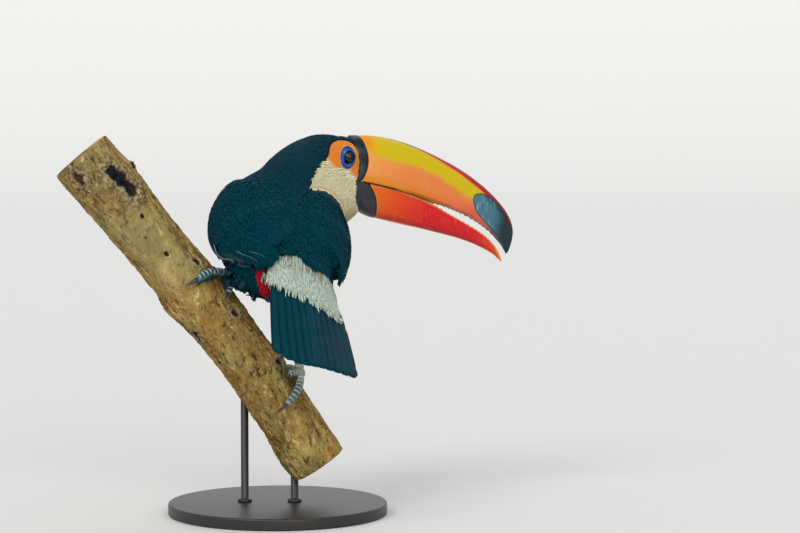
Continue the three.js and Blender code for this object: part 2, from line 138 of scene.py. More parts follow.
def dress(piece, material, slot, *nodes):
    """Gives a piece its material and body, and hides the CAD nodes that it stands for. The slot is not used.
    """
    piece.data.materials.append(material)
    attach(piece, "root")
    if nodes:
        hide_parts(*nodes)


def ring_faces(rings, columns):
    """Quads that join each ring of vertices to the next."""
    faces = []
    for i in range(rings - 1):
        for j in range(columns):
            k = (j + 1) % columns
            faces.append([i * columns + j, i * columns + k, (i + 1) * columns + k, (i + 1) * columns + j])
    return faces


def evaluated(piece):
    """The piece's arrays with its modifiers applied: vertices, and faces as lists."""
    graph = bpy.context.evaluated_depsgraph_get()
    mesh = piece.evaluated_get(graph).to_mesh()
    verts = mm_verts(mesh)
    faces = [list(f.vertices) for f in mesh.polygons]
    piece.evaluated_get(graph).to_mesh_clear()
    return verts, faces


def discard(piece):
    """Removes a scratch object and its mesh."""
    mesh = piece.data
    bpy.data.objects.remove(piece)
    bpy.data.meshes.remove(mesh)


def normals_of(verts, faces):
    """Vertex normals of a mesh of triangles or quads."""
    a, b, c = (verts[faces[:, k]] for k in range(3))
    d = verts[faces[:, -1]]
    across = np.cross(c - a, d - b) if faces.shape[1] == 4 else np.cross(b - a, c - a)
    total = np.zeros_like(verts)
    for k in range(faces.shape[1]):
        for axis in range(3):
            total[:, axis] += np.bincount(faces[:, k], across[:, axis], len(verts))
    return total / (np.linalg.norm(total, axis=1, keepdims=True) + 1e-12)


def edges_of(faces):
    """Each edge of a mesh once, as a pair of vertices."""
    pairs = np.concatenate([faces[:, [k, (k + 1) % faces.shape[1]]] for k in range(faces.shape[1])])
    return np.unique(np.sort(pairs, axis=1), axis=0)


def smoothed(verts, faces, rounds, weight=1.0, back=0.52):
    """Evens a mesh out, by steps in and steps back out that keep it from shrinking."""
    a, b = edges_of(faces).T
    degree = np.bincount(np.concatenate([a, b]), minlength=len(verts))[:, None]
    weight = np.broadcast_to(weight, len(verts))[:, None]
    for factor in (0.5, -back) * rounds if back else (0.5,) * rounds:
        total = np.stack(
            [
                np.bincount(a, verts[b, k], len(verts)) + np.bincount(b, verts[a, k], len(verts))
                for k in range(3)
            ],
            axis=1,
        )
        verts = verts + weight * factor * (total / degree - verts)
    return verts


def filled(verts, faces, share, rounds):
    """Brings hollows out to an even surface where share is above 0, and wears ridges down a little."""
    a, b = edges_of(faces).T
    degree = np.bincount(np.concatenate([a, b]), minlength=len(verts))
    for step in range(rounds):
        if step % 20 == 0:
            normals = normals_of(verts, faces)
        out = np.zeros(len(verts))
        for k in range(3):
            total = np.bincount(a, verts[b, k], len(verts)) + np.bincount(b, verts[a, k], len(verts))
            out += (total / degree - verts[:, k]) * normals[:, k]
        verts = verts + (share * np.where(out > 0, 0.95, 0.12) * out)[:, None] * normals
    return verts


def largest_shell(verts, faces):
    """Only the connected shell with the most vertices."""
    label = np.arange(len(verts))
    a, b = edges_of(faces).T
    while True:
        low = np.minimum(label[a], label[b])
        lower = label.copy()
        np.minimum.at(lower, a, low)
        np.minimum.at(lower, b, low)
        lower = lower[lower]
        if (lower == label).all():
            break
        label = lower
    keep = label == np.bincount(label).argmax()
    index = np.cumsum(keep) - 1
    return verts[keep], index[faces[keep[faces[:, 0]]]]


def united(names, voxel, swell=0.0, more=()):
    """One even shell round several CAD nodes and more shells, each swollen first so that gaps close."""
    all_verts, all_faces, count = [], [], 0
    for verts, faces in [node_arrays(name) for name in names] + list(more):
        verts = verts + normals_of(verts, faces) * swell
        all_verts.append(verts)
        all_faces.append(faces + count)
        count += len(verts)
    piece = new_piece("shell", np.concatenate(all_verts), np.concatenate(all_faces))
    modifier = piece.modifiers.new("even", "REMESH")
    modifier.mode = "VOXEL"
    modifier.voxel_size = voxel * MM
    verts, faces = evaluated(piece)
    discard(piece)
    return largest_shell(verts, np.array(faces))


class Form:
    """A surface that feathers are laid on, with its nearest points and its smooth normals."""

    def __init__(self, verts, faces):
        self.verts, self.faces = verts, faces
        self.normals = normals_of(verts, faces)
        self.tree = BVHTree.FromPolygons(verts.tolist(), faces.tolist())

    def nearest(self, points):
        """The nearest point of the form to each point, and its smooth normal."""
        hits = [self.tree.find_nearest(p) for p in points.tolist()]
        on = np.array([h[0] for h in hits])
        face = np.array([h[2] for h in hits])
        normal = self.normals[self.faces[face]].mean(axis=1)
        return on, normal / np.linalg.norm(normal, axis=1, keepdims=True)

    def face_at(self, points):
        """The face nearest to each point."""
        return np.array([self.tree.find_nearest(p)[2] for p in points.tolist()])

    def thickness(self, most):
        """How thick the form is under each vertex, up to a most."""
        rays = zip((self.verts - self.normals * 0.05).tolist(), (-self.normals).tolist())
        hits = [self.tree.ray_cast(at, way, most) for at, way in rays]
        return np.array([most if h[3] is None else h[3] for h in hits])


def distance_to(points, name):
    """How far each point is from a CAD node's surface."""
    verts, faces = node_arrays(name)
    tree = BVHTree.FromPolygons(verts.tolist(), faces.tolist())
    return np.array([tree.find_nearest(p)[3] for p in points.tolist()])


def nearest_gap(points, names):
    """How far each point is from the nearest of several CAD nodes."""
    return np.min([distance_to(points, name) for name in names], axis=0)


def middle_of(name):
    """The middle of a CAD node's box in millimetres."""
    low, high = (np.array(corner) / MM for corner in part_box(name))
    return (low + high) / 2


def unit(vectors):
    """Vectors of length 1 the same way."""
    return vectors / (np.linalg.norm(vectors, axis=-1, keepdims=True) + 1e-12)


def ease(values, low, high):
    """0 below low, 1 above high, and smooth between."""
    share = np.clip((np.asarray(values, float) - low) / (high - low), 0, 1)
    return share * share * (3 - 2 * share)


def along_line(values, knots):
    """A straight-line table: knots are (position, value) pairs in rising order."""
    at, value = np.array(knots, float).T
    return np.interp(values, at, value)


def inside_outline(points, outline):
    """Signed distance of 2-D points to a closed outline, positive inside."""
    corners = np.array(outline, float)
    nearest = np.full(len(points), np.inf)
    inside = np.zeros(len(points), bool)
    for a, b in zip(corners, np.roll(corners, -1, axis=0)):
        edge, to = b - a, points - a
        share = np.clip(to @ edge / (edge @ edge), 0, 1)[:, None]
        nearest = np.minimum(nearest, np.linalg.norm(to - share * edge, axis=1))
        crosses = (a[1] > points[:, 1]) != (b[1] > points[:, 1])
        level = b[0] - a[0]
        rise = (b[1] - a[1]) if b[1] != a[1] else 1.0
        inside ^= crosses & (points[:, 0] < a[0] + level * (points[:, 1] - a[1]) / rise)
    return np.where(inside, nearest, -nearest)


def rounded(outline, rounds=2):
    """Cuts an outline's corners off twice, which leaves a smooth closed curve."""
    points = np.array(outline, float)
    for _ in range(rounds):
        following = np.roll(points, -1, axis=0)
        points = np.stack([0.75 * points + 0.25 * following, 0.25 * points + 0.75 * following], 1)
        points = points.reshape(-1, 2)
    return points


def speckle(points, size, seed=0, octaves=3):
    """Smooth noise from -1 to 1 at each point, with features of about the given size."""
    shift = Vector((seed * 7.1, seed * 3.7, seed * 5.3))
    return np.array(
        [noise.fractal(Vector(p) / size + shift, 0.8, 2.0, octaves) for p in points.tolist()]
    )


# ---- Materials ----
class Paint:
    """A material with a principled shader, and short calls that add nodes to it."""

    def __init__(self, name, **sockets):
        self.material = bpy.data.materials.new(name)
        self.material.use_nodes = True
        self.tree = self.material.node_tree
        self.shader = self.tree.nodes["Principled BSDF"]
        self.place = self.add("ShaderNodeTexCoord").outputs["Object"]
        for socket, value in sockets.items():
            self.shader.inputs[socket.replace("_", " ")].default_value = value

    def add(self, kind, **values):
        """A new node with its settings."""
        node = self.tree.nodes.new(kind)
        for key, value in values.items():
            setattr(node, key, value)
        return node

    def feed(self, socket, value):
        """Links a socket, or sets its constant; three numbers make an opaque colour."""
        if isinstance(value, bpy.types.NodeSocket):
            self.tree.links.new(value, socket)
        elif isinstance(value, tuple) and len(value) == 3 and len(socket.default_value) == 4:
            socket.default_value = (*value, 1)
        else:
            socket.default_value = value

    def attribute(self, name):
        """A piece's own number at each vertex."""
        return self.add("ShaderNodeAttribute", attribute_name=name).outputs["Fac"]

    def stretched(self, x, y, z):
        """Object coordinates scaled along each axis, for noise that is long one way."""
        node = self.add("ShaderNodeMapping")
        self.feed(node.inputs["Vector"], self.place)
        node.inputs["Scale"].default_value = (x, y, z)
        return node.outputs["Vector"]

    def noise(self, size, detail=4.0, roughness=0.55, vector=None, distortion=0.0):
        """Noise from 0 to 1 with features of a size in millimetres."""
        node = self.add("ShaderNodeTexNoise")
        self.feed(node.inputs["Vector"], vector or self.place)
        node.inputs["Scale"].default_value = 1 / (size * MM)
        node.inputs["Detail"].default_value = detail
        node.inputs["Roughness"].default_value = roughness
        node.inputs["Distortion"].default_value = distortion
        return node.outputs["Fac"]

    def cells(self, size):
        """Distance from scattered centres about a size in millimetres apart, from 0 at each centre."""
        node = self.add("ShaderNodeTexVoronoi", feature="F1")
        self.feed(node.inputs["Vector"], self.place)
        node.inputs["Scale"].default_value = 1 / (size * MM)
        return node.outputs["Distance"]

    def math(self, operation, a, b=0.0):
        """A sum of one or two numbers or sockets."""
        node = self.add("ShaderNodeMath", operation=operation)
        self.feed(node.inputs[0], a)
        self.feed(node.inputs[1], b)
        return node.outputs[0]

    def times(self, a, b):
        return self.math("MULTIPLY", a, b)

    def plus(self, a, b):
        return self.math("ADD", a, b)

    def minus(self, a, b):
        return self.math("SUBTRACT", a, b)

    def larger(self, a, b):
        return self.math("MAXIMUM", a, b)

    def step(self, value, low, high, to_low=0.0, to_high=1.0):
        """A smooth step from to_low to to_high as value goes from low to high."""
        node = self.add("ShaderNodeMapRange", interpolation_type="SMOOTHSTEP")
        self.feed(node.inputs["Value"], value)
        for socket, number in zip(("From Min", "From Max", "To Min", "To Max"), (low, high, to_low, to_high)):
            node.inputs[socket].default_value = number
        return node.outputs["Result"]

    def mix(self, share, a, b):
        """Colour a at a share of 0, and b at 1."""
        node = self.add("ShaderNodeMix", data_type="RGBA")
        self.feed(node.inputs["Factor"], share)
        self.feed(node.inputs[6], a)
        self.feed(node.inputs[7], b)
        return node.outputs[2]

    def ramp(self, value, stops):
        """Colours by value: stops are (position, colour) pairs."""
        node = self.add("ShaderNodeValToRGB")
        self.feed(node.inputs["Fac"], value)
        elements = node.color_ramp.elements
        while len(elements) < len(stops):
            elements.new(0.5)
        for element, (position, colour) in zip(elements, stops):
            element.position = position
            element.color = (*colour, 1)
        return node.outputs["Color"]

    def bump(self, height, distance, strength=1.0):
        """Bump of a height field from 0 to 1 over a distance in millimetres."""
        node = self.add("ShaderNodeBump")
        self.feed(node.inputs["Height"], height)
        node.inputs["Distance"].default_value = distance * MM
        node.inputs["Strength"].default_value = strength
        self.tree.links.new(node.outputs["Normal"], self.shader.inputs["Normal"])

    def set(self, socket, value):
        """Links or sets one of the shader's own sockets."""
        self.feed(self.shader.inputs[socket], value)


# ---- Markings, shared by the skin and the coat ----
# The pale face and bib as seen from the side, in the head's frame (x, z). Its front lies under the bill.
PALE_OUTLINE = [
    (6, 28), (-11, 30), (-14, 33.5), (-20, 37), (-28, 37), (-36, 33), (-41.5, 27), (-41.5, 16), (-46, 8),
    (-52, 0), (-55.5, -9), (-56, -20), (-60, -36), (-70, -62), (-70, -110), (60, -110), (60, 0),
]
# The dark horn at the bill's base, under the corner of the mouth.
HORN_OUTLINE = [(-4.5, 3), (-4.5, -3), (-3, -10), (1, -21), (6.5, -25.5), (15, -30), (34, -30), (34, 3)]
BIB_REACH = 92  # from the corner of the mouth to the bib's lower edge
BIB_RED = 9  # width of the red band along that edge


def markings(points):
    """How far inside each marking a point is, in millimetres, as a table of arrays."""
    head = HEAD.local(points)
    x, y, z = head.T
    reach = BIB_REACH - np.linalg.norm(head * (1, 0.9, 1), axis=1)
    pale = np.minimum(inside_outline(head[:, [0, 2]], rounded(PALE_OUTLINE)), reach)
    warm_edge = 7.5 + 0.14 * (-x - 10) + 2.0 * np.sin(x * 0.25)
    warm = ease(z - warm_edge, -9, 5) * ease(np.abs(y), 6, 16)
    horn = np.where(np.abs(y) > 4, inside_outline(head[:, [0, 2]], HORN_OUTLINE), FAR_OUT)
    return {"pale": pale, "warm": warm, "band": reach, "horn": horn}


# ---- The lie of the coat ----
SPINE = np.array(
    [
        HEAD.world((4, 0, 22)),
        HEAD.world((-35, 0, 22)),
        HEAD.world((-72, 0, -6)),
        BODY.world((66, 0, 14)),
        BODY.world((25, 0, 10)),
        BODY.world((-30, 0, 6)),
        BODY.world((-80, 0, 6)),
        TAIL.world((-60, 0, 0)),
        TAIL.world((-140, 0, 0)),
    ]
)


def spine_samples(per_stretch=6):
    """Points along the spine, evened out, and its way at each."""
    share = np.linspace(0, len(SPINE) - 1, (len(SPINE) - 1) * per_stretch + 1)
    line = np.stack([np.interp(share, np.arange(len(SPINE)), SPINE[:, k]) for k in range(3)], 1)
    for _ in range(4):
        line[1:-1] = (line[:-2] + line[1:-1] + line[2:]) / 3
    return line, unit(np.gradient(line, axis=0))


SPINE_LINE, SPINE_WAYS = spine_samples()


def body_lie(points):
    """The way the coat lies: from the bill over the back and belly to the tail."""
    gap = np.linalg.norm(points[:, None] - SPINE_LINE[None], axis=2)
    weight = np.exp(-((gap / 30) ** 2)) + 1e-9
    return weight @ SPINE_WAYS


def face_lie(points):
    """On the face and bib the coat runs back from the bill and down the throat."""
    head = HEAD.local(points)
    down = ease(-head[:, 2], -25, 25)[:, None]
    way = (1 - down) * np.array([-1, 0, -0.35]) + down * np.array([-0.55, 0, -0.85])
    return unit(way) @ HEAD.turn.T


def tail_lie(points):
    """On the tail's root the coat runs straight to the tail's end."""
    return np.broadcast_to(TAIL.way(-1, 0, 0), points.shape)


# ---- Feathers ----
def walk(form, starts, length, steps, lie):
    """Paths that run over the form the way the coat lies, and run straight on past its edges."""
    on, normal = form.nearest(starts)
    points, normals = [on], [normal]
    free = np.zeros(len(on))
    way = lie(on)
    for _ in range(steps):
        way = unit(way - (way * normal).sum(1, keepdims=True) * normal)
        step = (length / steps)[:, None]
        ahead = points[-1] + way * step
        near, turned = form.nearest(ahead)
        off = (np.linalg.norm(near - ahead, axis=1, keepdims=True) > 0.55 * step + 0.4) | (
            (turned * normal).sum(1, keepdims=True) < 0.55
        )
        points.append(np.where(off, ahead, near))
        free += off[:, 0]
        normal = np.where(off, normal, turned)
        normals.append(normal)
        way = unit(way + 0.6 * lie(points[-1]))
    return np.stack(points, 1), np.stack(normals, 1), free / steps


def tube_faces(count, sections, ring):
    """Faces of many closed tubes, each of some sections of a ring of vertices, with its caps."""
    start = np.arange(count)[:, None, None] * sections * ring
    i = np.arange(sections - 1)[None, :, None] * ring
    j = np.arange(ring)[None, None, :]
    k = (j + 1) % ring
    quads = np.stack([start + i + j, start + i + k, start + i + ring + k, start + i + ring + j], -1)
    first = np.arange(count)[:, None] * sections * ring + np.arange(ring)[None, ::-1]
    last = np.arange(count)[:, None] * sections * ring + (sections - 1) * ring + np.arange(ring)[None]
    return quads.reshape(-1, 4).tolist() + first.tolist() + last.tolist()


def fitted(values):
    """Map coordinates brought just inside 0 to 1."""
    low, high = values.min(0), values.max(0)
    return 0.02 + 0.96 * (values - low) / np.maximum(high - low, 1e-6)


def unwrapped(points, axes):
    """A map of a rounded surface: place along an axis, and the angle round it."""
    local = axes.local(points)
    angle = np.arctan2(local[:, 1], local[:, 2])
    return fitted(np.stack([local[:, 0], angle], 1))


PATCH = 0.003  # a tuft's size on the baking map


class Coat:
    """Collects vanes and makes one piece of them."""

    def __init__(self):
        self.verts, self.faces, self.map = [], [], []
        self.table = {"tone": [], "along": [], "across": [], "mark": []}
        self.count = 0

    def add(self, rings, across, roots_map, tone, mark, patch=PATCH):
        """rings is (vanes, sections, ring, 3); across is each ring place's place, from -1 to 1."""
        vanes, sections, ring, _ = rings.shape
        self.verts.append(rings.reshape(-1, 3))
        self.faces += [[v + self.count for v in f] for f in tube_faces(vanes, sections, ring)]
        shape = (vanes, sections, ring)
        along = np.broadcast_to(np.linspace(0, 1, sections)[None, :, None], shape)
        side = np.broadcast_to(np.asarray(across, float)[None, None, :], shape)
        local = np.stack([side * 0.5, along - 0.5], -1) * patch
        self.map.append((roots_map[:, None, None] + local).reshape(-1, 2))
        self.table["along"].append(along.ravel())
        self.table["across"].append(side.ravel())
        for key, value in (("tone", tone), ("mark", mark)):
            self.table[key].append(np.broadcast_to(value[:, None, None], shape).ravel())
        self.count += vanes * sections * ring

    def piece(self, name, material, slot):
        """Makes the object of all the vanes collected so far."""
        piece = new_piece(name, np.concatenate(self.verts), self.faces)
        set_attributes(piece, **{key: np.concatenate(values) for key, values in self.table.items()})
        set_corner_map(piece, "OFBake", np.concatenate(self.map))
        dress(piece, material, slot)
        triangles = sum(len(f) - 2 for f in self.faces)
        print(f"{name}: {triangles} triangles")
        return piece


def vane_rings(points, normals, half_width, heights, jag=0.12, arch=0.18, ridge=0.22, tip=0.25):
    """Small closed vanes, three-cornered in section, that widen and come to a rounded, frayed tip."""
    count, sections, _ = points.shape
    ways = unit(np.gradient(points, axis=1))
    sides = unit(np.cross(normals, ways))
    share = np.linspace(0, 1, sections)
    outline = np.sin(np.pi * (0.14 + 0.86 * share ** 1.15)) ** 0.6
    outline = np.maximum(outline, tip * 0.6)
    outline[-1] = tip * 0.5
    width = half_width[:, None] * outline[None]
    fray = 1 + jag * rng.uniform(-1, 1, (2, count, sections))
    centre = points + normals * heights[..., None]
    drop = (arch * width)[..., None] * normals
    left = centre + sides * (width * fray[0])[..., None] - drop
    right = centre - sides * (width * fray[1])[..., None] - drop
    top = centre + normals * (ridge * width + 0.05)[..., None]
    return np.stack([left, top, right], 2)


def scatter(form, chosen, spacing, seed):
    """Evenly spread points on the form where chosen is true, at least a spacing apart."""
    piece = new_piece("scatter", form.verts, form.faces)
    set_attributes(piece, chosen=chosen.astype(float))
    group = bpy.data.node_groups.new("scatter", "GeometryNodeTree")
    group.interface.new_socket("Geometry", in_out="INPUT", socket_type="NodeSocketGeometry")
    group.interface.new_socket("Geometry", in_out="OUTPUT", socket_type="NodeSocketGeometry")
    into = group.nodes.new("NodeGroupInput")
    out = group.nodes.new("NodeGroupOutput")
    spread = group.nodes.new("GeometryNodeDistributePointsOnFaces")
    spread.distribute_method = "POISSON"
    named = group.nodes.new("GeometryNodeInputNamedAttribute")
    named.inputs["Name"].default_value = "chosen"
    turn = group.nodes.new("GeometryNodePointsToVertices")
    spread.inputs["Distance Min"].default_value = spacing * MM
    spread.inputs["Density Max"].default_value = 3.0 / (spacing * MM) ** 2
    spread.inputs["Seed"].default_value = seed
    group.links.new(into.outputs[0], spread.inputs["Mesh"])
    group.links.new(named.outputs[0], spread.inputs["Density Factor"])
    group.links.new(spread.outputs["Points"], turn.inputs["Points"])
    group.links.new(turn.outputs[0], out.inputs[0])
    modifier = piece.modifiers.new("scatter", "NODES")
    modifier.node_group = group
    points, _ = evaluated(piece)
    discard(piece)
    bpy.data.node_groups.remove(group)
    return points


def lay_vanes(coat, form, roots, length, half_width, depth, lie, axes, mark=None, steps=4, **shape):
    """Lays one small vane from each root: its root on the skin, its tip just under the form.

    Loose is how far a vane may run on past an edge of the form, in millimetres, and sway how much
    it bends to a side. A vane with more than most_off of its steps off the form is left out.
    """
    rise, loose, bend = shape.pop("rise", 0.0), shape.pop("loose", 1.5), shape.pop("sway", 0.05)
    most_off = shape.pop("most_off", 1.0)
    length = np.broadcast_to(length, len(roots)) * rng.uniform(0.85, 1.15, len(roots))
    half_width = np.broadcast_to(half_width, len(roots))
    mark = np.zeros(len(roots)) if mark is None else mark
    _, _, free = walk(form, roots, length, steps, lie)
    length = np.where(free > 0, np.minimum(length, length * (1 - free) + loose), length)
    keep = length > 2.8
    roots, length, half_width, mark = roots[keep], length[keep], half_width[keep], mark[keep]
    points, normals, free = walk(form, roots, length, steps, lie)
    near = free <= most_off
    points, normals = points[near], normals[near]
    roots, length, half_width, mark = roots[near], length[near], half_width[near], mark[near]
    count = len(roots)
    share = np.linspace(0, 1, steps + 1)[None]
    tips = (rng.uniform(-0.35, 0.1, count) + np.broadcast_to(rise, keep.shape)[keep][near])[:, None]
    depth = np.broadcast_to(depth, count)[:, None]
    heights = -depth * (1 - share) ** 1.3 * 0.9 + tips * share
    sway = rng.normal(0, bend, count)[:, None] * length[:, None] * share ** 2
    sides = unit(np.cross(normals, unit(np.gradient(points, axis=1))))
    points = points + sides * sway[..., None]
    rings = vane_rings(points, normals, half_width, heights, **shape)
    tone = rng.uniform(0, 1, count)
    coat.add(rings, (-1, 0, 1), unwrapped(roots, axes), tone, mark)


# ---- The skin ----
SEPARATE = ("eye", "bill", "claw", "perch", "stand")
LEG = ("shank", "foot", "toe")
FLESH = [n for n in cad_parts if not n.startswith(SEPARATE)]
LEG_NODES = [n for n in FLESH if n.startswith(LEG)]
BODY_NODES = [n for n in FLESH if n not in LEG_NODES and n != "tail"]
WINGS = ["wing_left", "wing_right"]
LEFT_TOES = [f"toe_left_{k}" for k in (1, 2, 3, 4)]
SWELL = 0.6  # how much the nodes grow before they are united
PAD_GROWTH = 6.0  # how much the trunk grows with its neck and wings, to close the clefts between them
HOLLOW_ROUNDS = 260  # steps that bring the hollows of the back out


def shoulder_pad():
    """The trunk, neck and wings grown together and shrunk again, to close the clefts before the wings."""
    verts, faces = united(["trunk", "neck"] + WINGS, 2.0, PAD_GROWTH)
    verts = smoothed(verts, faces, 8)
    x = BODY.local(verts)[:, 0]
    depth = 6.4 + 8 * ease(-x, -26, -4)
    verts = verts - normals_of(verts, faces) * depth[:, None]
    return verts, np.concatenate([faces[:, :3], faces[:, [0, 2, 3]]])


def make_form():
    """The outer form of the feathered body: its nodes but the tail, with the bill, as one smooth shell."""
    names = BODY_NODES + ["eye_left", "eye_right", "bill_upper", "bill_lower"]
    verts, faces = united(names, 1.4, SWELL, [shoulder_pad()])
    verts = smoothed(verts, faces, 6)
    thick = Form(verts, faces).thickness(14)
    away_from_bill = ease(-HEAD.local(verts)[:, 0], -2, 16)
    soft = ease(thick, 5, 12) * away_from_bill
    verts = smoothed(verts, faces, 36, soft, back=0.0)
    verts = verts - normals_of(verts, faces) * (SWELL - 0.35 * soft)[:, None]
    _, y, z = BODY.local(verts).T
    near = nearest_gap(verts, ["trunk"] + WINGS)
    upper = ease(-np.degrees(np.arctan2(np.abs(y), z)), -92, -72)
    nape = ease(-nearest_gap(verts, WINGS), -17, -9) * ease(-markings(verts)["pale"], 3, 10)
    back = np.maximum(ease(-near, -8, -3), nape) * upper * ease(-rump_edge(verts), -4, 2)
    verts = filled(verts, faces, back, HOLLOW_ROUNDS)
    return Form(verts, faces)


FORM_NODES = BODY_NODES + ["bill_upper", "bill_lower"]


def near_groups(points):
    """The name of the CAD node nearest to each point, and how much nearer the bill is than the head."""
    gaps = np.stack([distance_to(points, name) for name in FORM_NODES], 1)
    bill = gaps[:, -2:].min(1)
    head = gaps[:, FORM_NODES.index("head")]
    return np.array(FORM_NODES)[gaps.argmin(1)], head - bill


def fine_face(verts, faces):
    """Cuts the mesh of the face finer, and that round the eyes finer again."""
    work = bmesh.new()
    mesh = bpy.data.meshes.new("fine")
    mesh.from_pydata(verts.tolist(), [], faces.tolist())
    work.from_mesh(mesh)
    bpy.data.meshes.remove(mesh)
    for reach in (31, 19):
        chosen = []
        for edge in work.edges:
            middle = (edge.verts[0].co + edge.verts[1].co) / 2
            place = HEAD.local(np.array(middle))
            if np.hypot(place[0] + 24, place[2] - 18) < reach and abs(place[1]) > 8:
                chosen.append(edge)
        bmesh.ops.subdivide_edges(work, edges=chosen, cuts=1, use_grid_fill=True)
    bmesh.ops.triangulate(work, faces=[f for f in work.faces if len(f.verts) > 4])
    work.verts.index_update()
    verts = np.array([v.co for v in work.verts])
    rows = [[v.index for v in f.verts] for f in work.faces]
    work.free()
    return verts, rows


def eye_place(side):
    """An eyeball's centre and radius, from its CAD node."""
    low, high = (np.array(corner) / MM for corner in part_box(f"eye_{side}"))
    return (low + high) / 2, (high - low).max() / 2


def eye_plane(points, side):
    """Places in front of an eye: along the head, up, and out from the eyeball's centre."""
    centre, _ = eye_place(side)
    out = unit(HEAD.way(0.06, 1 if side == "left" else -1, 0.1))
    along = HEAD.way(1, 0, 0)
    along = unit(along - (along @ out) * out)
    up = np.cross(out, along)
    up = up * np.sign(up @ HEAD.way(0, 0, 1))
    gap = points - centre
    return gap @ along, gap @ up, gap @ out, out


EYE_OFFSET = (-1.6, -0.4)  # the ring's centre from the eyeball's, along the head and up


def shape_eye(verts, side):
    """Raises a ring of bare skin round an eye and sinks the skin under the opening of its lids."""
    _, radius = eye_place(side)
    x, z, height, out = eye_plane(verts, side)
    x, z = x - EYE_OFFSET[0], z - EYE_OFFSET[1]
    ring = np.hypot(x / EYE_RADII[0], z / EYE_RADII[1])
    opening = np.hypot(x / LID_RADII[0], z / LID_RADII[1])
    near = (height > 0) & (ring < 1.3)
    shrink = np.maximum(opening, 1e-6)
    edge = np.hypot(x / shrink + EYE_OFFSET[0], z / shrink + EYE_OFFSET[1])
    rim = np.sqrt(np.maximum((radius + 0.9) ** 2 - edge ** 2, 1.0))
    share = np.clip((opening - 1) / np.maximum(opening / np.maximum(ring, 1e-6) - 1, 1e-6), 0, 1)
    fold = 0.9 * np.sin(np.pi * share) + 0.14 * np.cos(share * 22) * np.sin(np.pi * share)
    lid = rim * (1 - share) + height * share + fold
    lid = lid - 0.7 * np.exp(-(((ring - 1.06) / 0.09) ** 2))
    sunk = np.sqrt(np.maximum(radius ** 2 - x ** 2 - z ** 2, 1.0)) - 2.5
    deep = ease(opening, 0.86, 1.0)
    target = sunk * (1 - deep) + lid * deep
    blend = 1 - ease(ring, 1.02, 1.28)
    moved = height + (target - height) * blend
    verts = verts + np.where(near, moved - height, 0)[:, None] * out
    in_front = height > -2
    ring = np.where(in_front, (1 - ring) * 9.5, FAR_OUT)
    return verts, ring, np.where(in_front, (1 - opening) * 5.5, FAR_OUT)


def legs_shell():
    """Both legs from the knee down, as two smooth shells in one mesh."""
    all_verts, all_faces, light, count = [], [], [], 0
    for side in ("left", "right"):
        verts, faces = united([n for n in LEG_NODES if side in n], 0.7, 0.15)
        verts = smoothed(verts, faces, 5)
        all_verts.append(verts - normals_of(verts, faces) * 0.25)
        all_faces.append(faces + count)
        light.append(np.full(len(verts), float(side == "right")))
        count += len(verts)
    return np.concatenate(all_verts), np.concatenate(all_faces), np.concatenate(light)


def make_skin(form, group, billward):
    """The bare bird: one mesh for all the flesh, inside the coat, with its markings as attributes."""
    verts, rows = fine_face(form.verts, form.faces)
    on, normal = form.nearest(verts)
    marks = markings(verts)
    head = HEAD.local(verts)
    headward = ease(-np.linalg.norm(head - (-30, 0, 5), axis=1), -75, -50)
    bare = bare_skin(marks)
    depth = COAT_DEPTH["body"] * (1 - headward) + COAT_DEPTH["head"] * headward
    depth = depth * (1 - bare) + COAT_DEPTH["face"] * bare
    thick = Form(form.verts, form.faces).thickness(12)
    hits = form.faces[form.face_at(verts)]
    winged = np.char.startswith(group[hits[:, 0]], "wing")
    marks["pale"] = np.where(winged, FAR_OUT, marks["pale"])
    local_thick = thick[hits].min(axis=1)
    core = ease(billward[hits].max(axis=1), -0.3, 1.6)
    core_depth = np.minimum(3.2, 0.45 * local_thick)
    depth = np.minimum(depth, 0.3 * local_thick) * (1 - core) + core_depth * core
    depth = depth * (1 - 0.9 * ease(marks["horn"], -1, 0.5) * (core < 0.5))
    verts = verts - normal * depth[:, None]
    pebbles = speckle(head * (0.6, 0.6, 1.6), 1.1, 3, 2) * 0.16 + speckle(head, 3.5, 4, 2) * 0.15
    verts = verts + normal * (pebbles * bare)[:, None]
    ring = np.full(len(verts), FAR_OUT)
    lid = np.full(len(verts), FAR_OUT)
    for side in ("left", "right"):
        verts, this_ring, this_lid = shape_eye(verts, side)
        ring, lid = np.maximum(ring, this_ring), np.maximum(lid, this_lid)
    leg_verts, leg_faces, light = legs_shell()
    on, normal = form.nearest(leg_verts)
    out = ((leg_verts - on) * normal).sum(1)
    leg_verts = leg_verts - normal * (5.0 * ease(-out, -2.2, 0.2))[:, None]
    feathered = ease(-out, -9, -6) * (light == 0) * ease(nearest_gap(leg_verts, LEFT_TOES), 1.0, 2.0)
    rump = ease(rump_edge(form.verts), -1, 2) * (group == "tail_coverts_upper")
    under = (group == "tail_coverts_lower") * ease(vent_left(form.verts), 2, 5)
    rows = rows + (leg_faces + len(verts)).tolist()
    skin = new_piece("skin", np.concatenate([verts, leg_verts]), rows)
    none, far = np.zeros(len(leg_verts)), np.full(len(leg_verts), FAR_OUT)
    for name, on_body, on_legs in (
        ("pale", marks["pale"], far),
        ("warm", marks["warm"], none),
        ("ring", ring, far),
        ("lid", lid, far),
        ("leg", np.zeros(len(verts)), 1 - feathered),
        ("light", np.zeros(len(verts)), light),
        ("mouth", core, none),
        ("horn", marks["horn"], far),
        ("station", head[:, 0], none),
        ("rump", rump[hits[:, 0]], none),
        ("under", under[hits[:, 0]], none),
    ):
        set_attributes(skin, **{name: np.concatenate([on_body, on_legs])})
    dress(skin, skin_material(), "feathers_black", *[n for n in FLESH if n != "tail"])
    return leg_verts, leg_faces


def bare_skin(marks):
    """1 on the bare orange skin round the eyes and 0 where feathers grow."""
    return ease(marks["pale"], -0.6, 0.4) * ease(marks["warm"], 0.35, 0.8)


